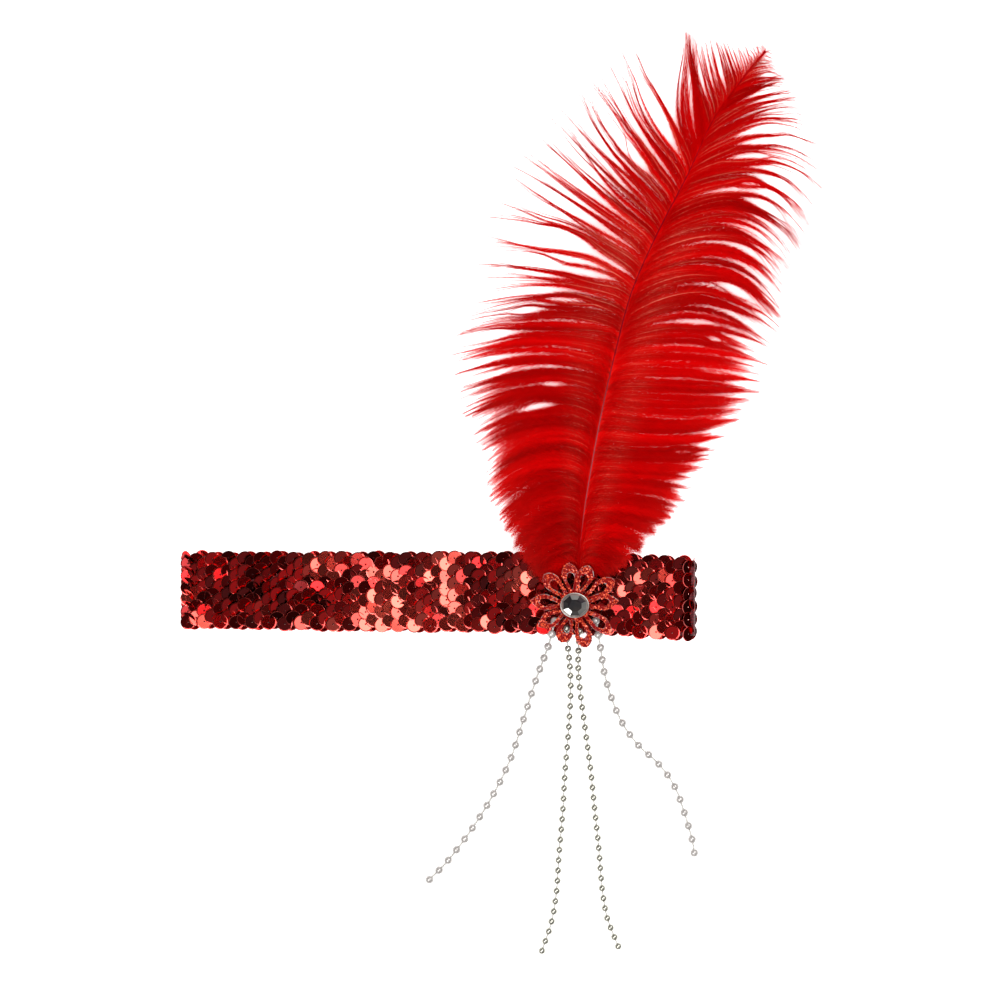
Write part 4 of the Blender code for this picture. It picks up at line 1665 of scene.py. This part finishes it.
    def _barb_guides(self, side: Side, low: float, high: float) -> bpy.types.Object:
        """Lines for some of the barbs of one side.

        Args:
            side: The quill's side.
            low: The share of the quill's length where these barbs begin.
            high: The share where they end.

        Returns:
            The guide object, with what the barbules and the finish read.
        """
        rng = np.random.default_rng(self.seed + side.value)
        roots = np.linspace(self.locks[0].root, self.last_root, self.barbs)
        groups = self._group(rng, roots, side)
        fluff = self._read(roots, "fluff", side)
        laid = self._gather(rng, roots, groups, fluff, side)
        hue = self._hues(rng, roots, groups, side)
        share = self.share
        rows = roots[:, None]
        # Painted highlights: a glint band on the barbs near the quill, and a glint line on the lead barb of
        # each group in the upper half, drawn thicker.
        leads = np.append(True, groups[1:] != groups[:-1])[:, None]
        lined = leads * smoothstep((rows - 0.38) / 0.12) * smoothstep(share / 0.08)
        lined = lined * (1 - smoothstep((share - 0.3) / 0.3))
        glint = self.looks[side].glint * np.exp(-(((share - 0.17) / 0.1) ** 2)) * (rows < 0.62)
        glint = glint + self.line_glint * lined
        reach = self._read(rows, "reach", side)
        thick = (1.2 - share) * np.minimum(0.35 + 1.4 * reach, 1.0) * (1 + self.line_width * lined)
        whole = (roots < self.thin_from) | (np.arange(self.barbs) % 2 == 0)
        keep = (roots >= low) & (roots < high) & whole
        values = {
            "along": share + 0.0 * rows,
            "thick": thick,
            "hue": hue[:, None] + 0.0 * share,
            "fluff": self._barbules(fluff, side),
            "glint": glint,
        }
        kept = {name: list(value[keep]) for name, value in values.items()}
        return guide_lines("barb_guides", list(laid[keep]), kept)

    def _barbule_shape(self) -> bpy.types.Object:
        """A pair of barbules of unit length, swept forward to each side of the barb.

        Returns:
            The pair.
        """
        half = self.barbule_width / self.barbule / 2
        ahead = math.cos(math.radians(self.sweep))
        aside = math.sin(math.radians(self.sweep))
        points = np.array([(-half, 0, 0), (half, 0, 0), (ahead, aside, 0), (ahead, -aside, 0)])
        return new_object("barbule_shape", mesh_of("barbule_shape", points, [(0, 1, 2), (1, 0, 3)]))

    def _barb_tree(self) -> GeometryTree:
        """The tree that gives each barb its shaft and its barbules.

        Returns:
            The tree.
        """
        tree = GeometryTree("grow_barbs")
        shape = tree.shape("Barbule")
        shaft, pitch, length = tree.numbers("Shaft", "Pitch", "Length")
        curves = tree.lines()
        sized = tree.out("GeometryNodeSetCurveRadius", {}, {"Curve": curves, "Radius": 1.0})
        shafts = tree.tube(sized, 3, 1.0, shaft * tree.read("thick"))
        shafts = tree.store(shafts, "fine", 1.0, "POINT")
        base = tree.facing(tree.out("GeometryNodeInputTangent"), tree.combine(0.0, 0.0, 1.0))
        turned = tree.turn(base, tree.random(-0.9, 0.9, 31), 0.0, 0.0)
        grown = length * tree.random(0.6, 1.15, 33) * tree.read("fluff")
        scale = tree.combine(grown * 0.6 + length * 0.4, grown, grown)
        fluff = tree.copies(tree.stations(curves, pitch), shape, turned, scale)
        tree.close(tree.join(fluff, shafts))
        return tree


class Petal(NamedTuple):
    """A petal's direction in degrees from +X, its reach as a share of the flower's and its outline."""

    angle: float
    reach: float
    pointed: bool = False


@dataclass
class Flower:
    """Ten pierced petals of glitter sheet on a round hub.

    A row of an outline holds shares of a petal's length and of its half width.
    """

    reach: float = 22.6 * MM
    hub_bottom: float = 11.6 * MM
    hub_radius: float = 7.0 * MM
    hub_thickness: float = 1.9 * MM
    petal_bottom: float = 13.3 * MM
    petal_width: float = 7.8 * MM
    petal_thickness: float = 1.5 * MM
    root_overlap: float = 0.7 * MM
    ramp: float = 3.0 * MM
    opening_width: float = 3.8 * MM
    opening_setback: float = 0.6 * MM
    tip_margin: float = 4.7 * MM
    petal_step: float = 0.15 * MM
    edge_share: float = 0.12
    edge_drop: float = 0.12 * MM
    bevel: float = 0.2 * MM
    sides: int = 48
    outline_steps: int = 24
    flake: float = 0.48 * MM
    flake_tilt: float = 38.0
    flake_lift: float = 0.1 * MM
    flakes_per_square: float = 1.7e6
    petals: tuple = (
        Petal(6.0, 0.94, True), Petal(33.0, 1.0), Petal(70.0, 0.89), Petal(98.6, 0.9), Petal(134.5, 0.92),
        Petal(174.0, 0.955, True), Petal(210.0, 0.9, True), Petal(250.0, 0.83), Petal(286.0, 0.925),
        Petal(324.0, 0.99, True),
    )
    round_petal: tuple = (
        (0.0, 0.42), (0.3, 0.7), (0.5, 0.94), (0.68, 1.0), (0.84, 0.78), (0.95, 0.42), (1.0, 0.0),
    )
    pointed_petal: tuple = (
        (0.0, 0.42), (0.3, 0.8), (0.52, 1.0), (0.7, 0.84), (0.86, 0.46), (0.96, 0.16), (1.0, 0.0),
    )
    opening: tuple = (
        (0.0, 0.12), (0.22, 0.42), (0.48, 0.8), (0.7, 1.0), (0.88, 0.82), (0.98, 0.35), (1.0, 0.0),
    )

    def build(self) -> None:
        """Make the petals with their glitter, and the hub."""
        sheet = self._sheet()
        for piece in (sheet, self._flakes(sheet)):
            seat(piece, Slot.GLITTER, "flower")

    def _outline(self, table: tuple, start: float, end: float, width: float) -> np.ndarray:
        """A closed outline from a table of its left half.

        Args:
            table: The rows of the table.
            start: Where the outline begins, along the petal.
            end: Where it ends.
            width: Its full width.

        Returns:
            Points along and beside the petal.
        """
        half = smooth_path(np.array(table), 6)
        lengths = lengths_along(half * (end - start, width / 2))
        even = at_length(half, lengths, np.linspace(0, lengths[-1], self.outline_steps))
        left = np.stack([start + even[:, 0] * (end - start), even[:, 1] * width / 2], axis=1)
        return np.vstack([left, left[:-1][::-1] * (1, -1)])

    def _rise(self, radius: np.ndarray) -> np.ndarray:
        """How far a petal's underside stands above the hub's underside."""
        share = smoothstep((radius - self.hub_radius + SEAT_GAP) / self.ramp)
        return (self.petal_bottom - self.hub_bottom) * share

    def _sheet(self) -> bpy.types.Object:
        """The petals and the hub as one piece, with pale cut edges.

        Returns:
            The sheet.
        """
        lofts = []
        cuts: list[bool] = []
        for index, petal in enumerate(self.petals):
            sections = self._petal(petal, index)
            lofts.append(loft(sections, closed=True))
            cuts += [side in (0, 1, 4, 5) for side in range(len(sections[0]))] * len(sections)
        lofts.append(self._hub())
        cuts += [False] * len(lofts[-1][1])
        points: list[Point] = []
        faces: list[tuple] = []
        for some_points, some_faces in lofts:
            faces += [tuple(corner + len(points) for corner in face) for face in some_faces]
            points += some_points
        mesh = mesh_of("flower_sheet", points, faces)
        mesh.materials.append(GLITTER_SHEET.material())
        mesh.materials.append(CutEdgeFinish().material())
        mesh.polygons.foreach_set("material_index", np.array(cuts, np.int32))
        return new_object("flower_sheet", outward(mesh))

    def _petal(self, petal: Petal, index: int) -> list:
        """Sections round a petal's opening. Their sides 0, 1, 4 and 5 are cut edges.

        Args:
            petal: The petal.
            index: Its number. Every other petal lies a little higher.

        Returns:
            The sections.
        """
        reach = petal.reach * self.reach
        start = self.hub_radius - self.root_overlap
        table = self.pointed_petal if petal.pointed else self.round_petal
        outer = self._outline(table, start, reach, self.petal_width)
        hole_start = self.hub_radius + self.opening_setback
        inner = self._outline(self.opening, hole_start, reach - self.tip_margin, self.opening_width)
        bottom = self.hub_bottom + self.petal_step * (index % 2)
        turn = math.radians(petal.angle)
        across = np.array([math.cos(turn), math.sin(turn)])
        beside = np.array([-across[1], across[0]])
        rim = self.edge_share
        corners = ((0, 0), (0, 1), (rim, 1), (0.5, 1), (1 - rim, 1), (1, 1), (1, 0), (0.5, 0))
        sections = []
        for out, hole in zip(outer, inner):
            section = []
            for share, height in corners:
                flat = out + (hole - out) * share
                x, y = across * flat[0] + beside * flat[1] + FLOWER_CENTRE
                z = bottom + self._rise(np.linalg.norm(flat)) + self.petal_thickness * height
                section.append((x, y, z - self.edge_drop * (height and share in (0, 1))))
            sections.append(section)
        return sections

    def _hub(self) -> tuple[list, list]:
        """The round hub under the stone.

        Returns:
            Its points and faces.
        """
        wide = self.hub_radius
        top = self.hub_thickness
        bevel = self.bevel
        profile = ((wide - bevel, 0.0), (wide, bevel), (wide, top - bevel), (wide - bevel, top))
        return loft([circle(size, self.sides, self.hub_bottom + z, FLOWER_CENTRE) for size, z in profile])

    def _flakes(self, sheet: bpy.types.Object) -> bpy.types.Object:
        """Glitter flakes stuck over the sheet's top.

        Args:
            sheet: The sheet.

        Returns:
            The flakes.
        """
        tree = GeometryTree("stick_glitter")
        shape = tree.shape("Flake")
        density, tilt, lift = tree.numbers("Density", "Tilt", "Lift")
        height = tree.parts(tree.out("GeometryNodeInputNormal"))[2]
        settings = {"data_type": "FLOAT", "operation": "GREATER_THAN"}
        upward = tree.out("FunctionNodeCompare", settings, {0: height, 1: 0.3})
        spread = tree.node(
            "GeometryNodeDistributePointsOnFaces", {"distribute_method": "RANDOM"},
            {"Mesh": tree.source, "Selection": upward, "Density": density, "Seed": 3},
        )
        tilts = [tree.random(-1.0, 1.0, seed) * tilt for seed in (41, 42)]
        turned = tree.turn(Sock(tree, spread.outputs["Rotation"]), *tilts, tree.random(0.0, 3.1, 43))
        lifted = tree.moved(Sock(tree, spread.outputs[0]), tree.combine(0.0, 0.0, lift))
        flakes = tree.copies(lifted, shape, turned, tree.random(0.55, 1.05, 44))
        tree.close(tree.store(flakes, "shade", tree.random(0.0, 1.0, 45)))
        flat = mesh_of("flake_shape", circle(self.flake, 6, 0.0), [tuple(range(6))])
        sizes = {
            "Flake": new_object("flake_shape", flat),
            "Density": self.flakes_per_square,
            "Tilt": math.radians(self.flake_tilt),
            "Lift": self.flake_lift,
        }
        guide = new_object("flake_guide", sheet.data.copy())
        return tree.make(guide, "flower_flakes", sizes, GlitterFlakeFinish().material())


class StoneRing(NamedTuple):
    """A ring of the cut stone: its height and size as shares, its corners and its turn in steps."""

    height: float
    size: float
    sides: int
    turn: float


@dataclass
class Rhinestone:
    """The oval cut stone at the flower's middle."""

    seat: float = 13.8 * MM
    length: float = 13.8 * MM
    width: float = 12.0 * MM
    height: float = 5.2 * MM
    rings: tuple = (
        StoneRing(0.0, 0.94, 16, 0.0),
        StoneRing(0.5, 0.94, 16, 0.0),
        StoneRing(0.84, 0.85, 8, 0.5),
        StoneRing(1.0, 0.5, 8, 0.5),
    )
    # Painted reflections: the table's is dark, the edge facets' are lifted, and the others come from the
    # direction table below.
    table: float = 0.02
    table_reach: float = 0.4
    edge_reach: float = 0.8
    edge_tone: tuple = (0.3, 0.4)
    painted_reflections: tuple = (0.2, 0.0, 0.28, 0.0, 0.02, 1.0, 0.05, 0.16)
    rim: tuple = ((0.95, 0.0), (1.0, 0.1), (1.0, 0.3), (0.98, 0.36), (0.93, 0.38), (0.93, 0.0))
    rim_steps: int = 64

    def build(self) -> None:
        """Cut the stone and press its rim."""
        bm = bmesh.new()
        for ring in self.rings:
            for step in range(ring.sides):
                bm.verts.new(self._place(math.tau * (step + ring.turn) / ring.sides, ring.size, ring.height))
        bmesh.ops.convex_hull(bm, input=bm.verts)
        mesh = bpy.data.meshes.new("cut_stone")
        bm.to_mesh(mesh)
        bm.free()
        self._tone(outward(mesh))
        seat(new_object("cut_stone", mesh, CrystalFinish().material()), Slot.CRYSTAL, "rhinestone")
        turns = np.linspace(0, math.tau, self.rim_steps, endpoint=False)
        sections = [[self._place(turn, *corner) for corner in self.rim] for turn in turns]
        rim = skin("stone_rim", sections, BRUSHED_RIM.material(), closed=True, smooth=False)
        seat(rim, Slot.CRYSTAL, "rhinestone")

    def _place(self, turn: float, size: float, height: float) -> Point:
        """A point round the stone.

        Args:
            turn: Its direction, in radians.
            size: Its distance from the middle, as a share of the stone's.
            height: Its height, as a share of the stone's.

        Returns:
            The point.
        """
        x = FLOWER_CENTRE[0] + self.length / 2 * size * math.cos(turn)
        y = FLOWER_CENTRE[1] + self.width / 2 * size * math.sin(turn)
        return x, y, self.seat + self.height * height

    def _tone(self, mesh: bpy.types.Mesh) -> None:
        """Store each facet's painted reflection: by its direction, lighter at the edge, dim in the middle.

        Args:
            mesh: The stone.
        """
        painted_reflections = []
        for face in mesh.polygons:
            x = (face.center.x - FLOWER_CENTRE[0]) / self.length * 2
            y = (face.center.y - FLOWER_CENTRE[1]) / self.width * 2
            tone = self.painted_reflections[round(math.atan2(y, x) / math.tau * len(self.painted_reflections)) % len(self.painted_reflections)]
            out = math.hypot(x, y)
            if out >= self.edge_reach:
                tone = self.edge_tone[0] + self.edge_tone[1] * tone
            painted_reflections.append(self.table if out < self.table_reach else tone)
        keep_values(mesh, "tone", painted_reflections, "FACE")


@dataclass
class BeadString:
    """Round beads on a thread that hangs over the band's edge and lies on the floor."""

    name: str
    node: str
    slot: Slot
    bead: float
    pitch: float
    thread: float
    route: tuple
    hub_clear: float = 10.0 * MM
    sequin_top: float = 8.8 * MM
    drape_run: float = 24.0 * MM
    floor_gap: float = 0.05 * MM
    steps: int = 120
    thread_sides: int = 8
    bead_segments: int = 20
    bead_rings: int = 14

    def build(self, tree: GeometryTree, band: Band, finish: bpy.types.Material) -> None:
        """Thread the beads.

        Args:
            tree: The tree that threads beads.
            band: The band that the string lies over.
            finish: The beads' material.
        """
        path = smooth_path(np.array(self.route) * MM, 8)
        away = np.linalg.norm(path - FLOWER_CENTRE, axis=1)
        radius = self.bead / 2
        path = path[int(np.argmax(away >= self.hub_clear + radius)) :]
        over = self.sequin_top + SEAT_GAP + radius
        under = self.floor_gap + radius
        edge = band.middle(path[:, 0]) - band.half_width(path[:, 0])
        share = smoothstep((edge - path[:, 1]) / self.drape_run)
        height = over + (under - over) * share
        line = np.column_stack([path, height])
        lengths = lengths_along(line)
        line = at_length(line, lengths, np.linspace(0, lengths[-1], self.steps))
        guide = guide_lines(self.name, [line], {})
        sizes = {"Bead": radius, "Pitch": self.pitch, "Thread": self.thread / 2}
        piece = tree.make(guide, self.name, {**sizes, "Thread finish": ThreadFinish().material()}, finish)
        seat(piece, self.slot, self.node)

    @classmethod
    def threading_tree(cls) -> GeometryTree:
        """The tree that threads beads along a line.

        Returns:
            The tree.
        """
        tree = GeometryTree("thread_beads")
        bead, pitch, thread = tree.numbers("Bead", "Pitch", "Thread")
        thread_finish = tree.size("Thread finish", "NodeSocketMaterial")
        finish = tree.size("Finish", "NodeSocketMaterial")
        curve = tree.lines()
        cord = tree.painted(tree.tube(curve, cls.thread_sides, thread), thread_finish)
        round_bead = {"Segments": cls.bead_segments, "Rings": cls.bead_rings, "Radius": bead}
        ball = tree.out("GeometryNodeMeshUVSphere", {}, round_bead)
        ball = tree.out("GeometryNodeSetShadeSmooth", {}, {"Geometry": tree.painted(ball, finish)})
        rotation = tree.facing(tree.out("GeometryNodeInputTangent"), tree.combine(0.0, 0.0, 1.0), "ZX")
        beads = tree.copies(tree.stations(curve, pitch), ball, rotation)
        tree.end(tree.join(beads, cord))
        return tree


@dataclass
class Strands:
    """The two strings of pearls and the two of silver beads."""

    pearl: float = 4.1 * MM
    pearl_pitch: float = 6.3 * MM
    pearl_thread: float = 0.9 * MM
    silver: float = 3.4 * MM
    silver_pitch: float = 4.8 * MM
    silver_thread: float = 0.7 * MM
    pearl_left: tuple = (
        (56.6, -7.6), (54.9, -14.9), (52.2, -25.1), (45.9, -43.1), (40.2, -61.4),
        (34.2, -79.6), (25.7, -96.9), (15.4, -113.3), (4.1, -128.2), (-4.5, -137.0),
    )
    pearl_right: tuple = (
        (72.6, -7.4), (75.2, -13.9), (77.3, -26.1), (79.4, -38.4), (83.0, -50.7), (88.2, -62.5),
        (95.7, -72.7), (105.6, -81.9), (113.0, -92.4), (117.6, -104.8), (121.3, -117.6), (122.4, -124.2),
    )
    silver_left: tuple = (
        (61.9, -10.8), (61.0, -19.0), (62.6, -33.6), (63.1, -48.1), (62.0, -67.2), (60.4, -86.2),
        (59.3, -105.6), (57.6, -124.6), (56.3, -143.5), (53.9, -157.7), (49.4, -171.2),
    )
    silver_right: tuple = (
        (68.2, -10.8), (67.2, -19.0), (66.7, -32.3), (67.7, -46.3), (70.2, -65.3), (72.7, -84.2),
        (74.7, -103.5), (76.7, -122.7), (78.3, -141.6), (80.8, -155.7), (86.0, -169.1),
    )

    def build(self, band: Band) -> None:
        """Thread all four strings."""
        tree = BeadString.threading_tree()
        pearls = (Slot.PEARL, self.pearl, self.pearl_pitch, self.pearl_thread)
        silvers = (Slot.SILVER, self.silver, self.silver_pitch, self.silver_thread)
        pearl_finish = PEARL_COATING.material()
        silver_finish = SILVER_PLATE.material()
        for name, kind, route, finish in (
            ("pearl_strand_left", pearls, self.pearl_left, pearl_finish),
            ("pearl_strand_right", pearls, self.pearl_right, pearl_finish),
            ("silver_strand_left", silvers, self.silver_left, silver_finish),
            ("silver_strand_right", silvers, self.silver_right, silver_finish),
        ):
            BeadString(f"{name}_beads", name, *kind, route).build(tree, band, finish)


def keep_above_floor(mesh: bpy.types.Mesh) -> None:
    """Press what would reach below the floor flat onto it.

    Args:
        mesh: A piece's mesh.
    """
    places = np.empty(len(mesh.vertices) * 3, np.float32)
    mesh.vertices.foreach_get("co", places)
    places[2::3] = np.maximum(places[2::3], 0.0)
    mesh.vertices.foreach_set("co", places)
    mesh.update()


def main() -> None:
    """Build the headband, piece by piece."""
    logging.basicConfig(level=logging.INFO, format="%(message)s")
    Studio().build()
    band = Band()
    band.build()
    Plume().build()
    Flower().build()
    Rhinestone().build()
    Strands().build(band)


if __name__ == "__main__":
    main()
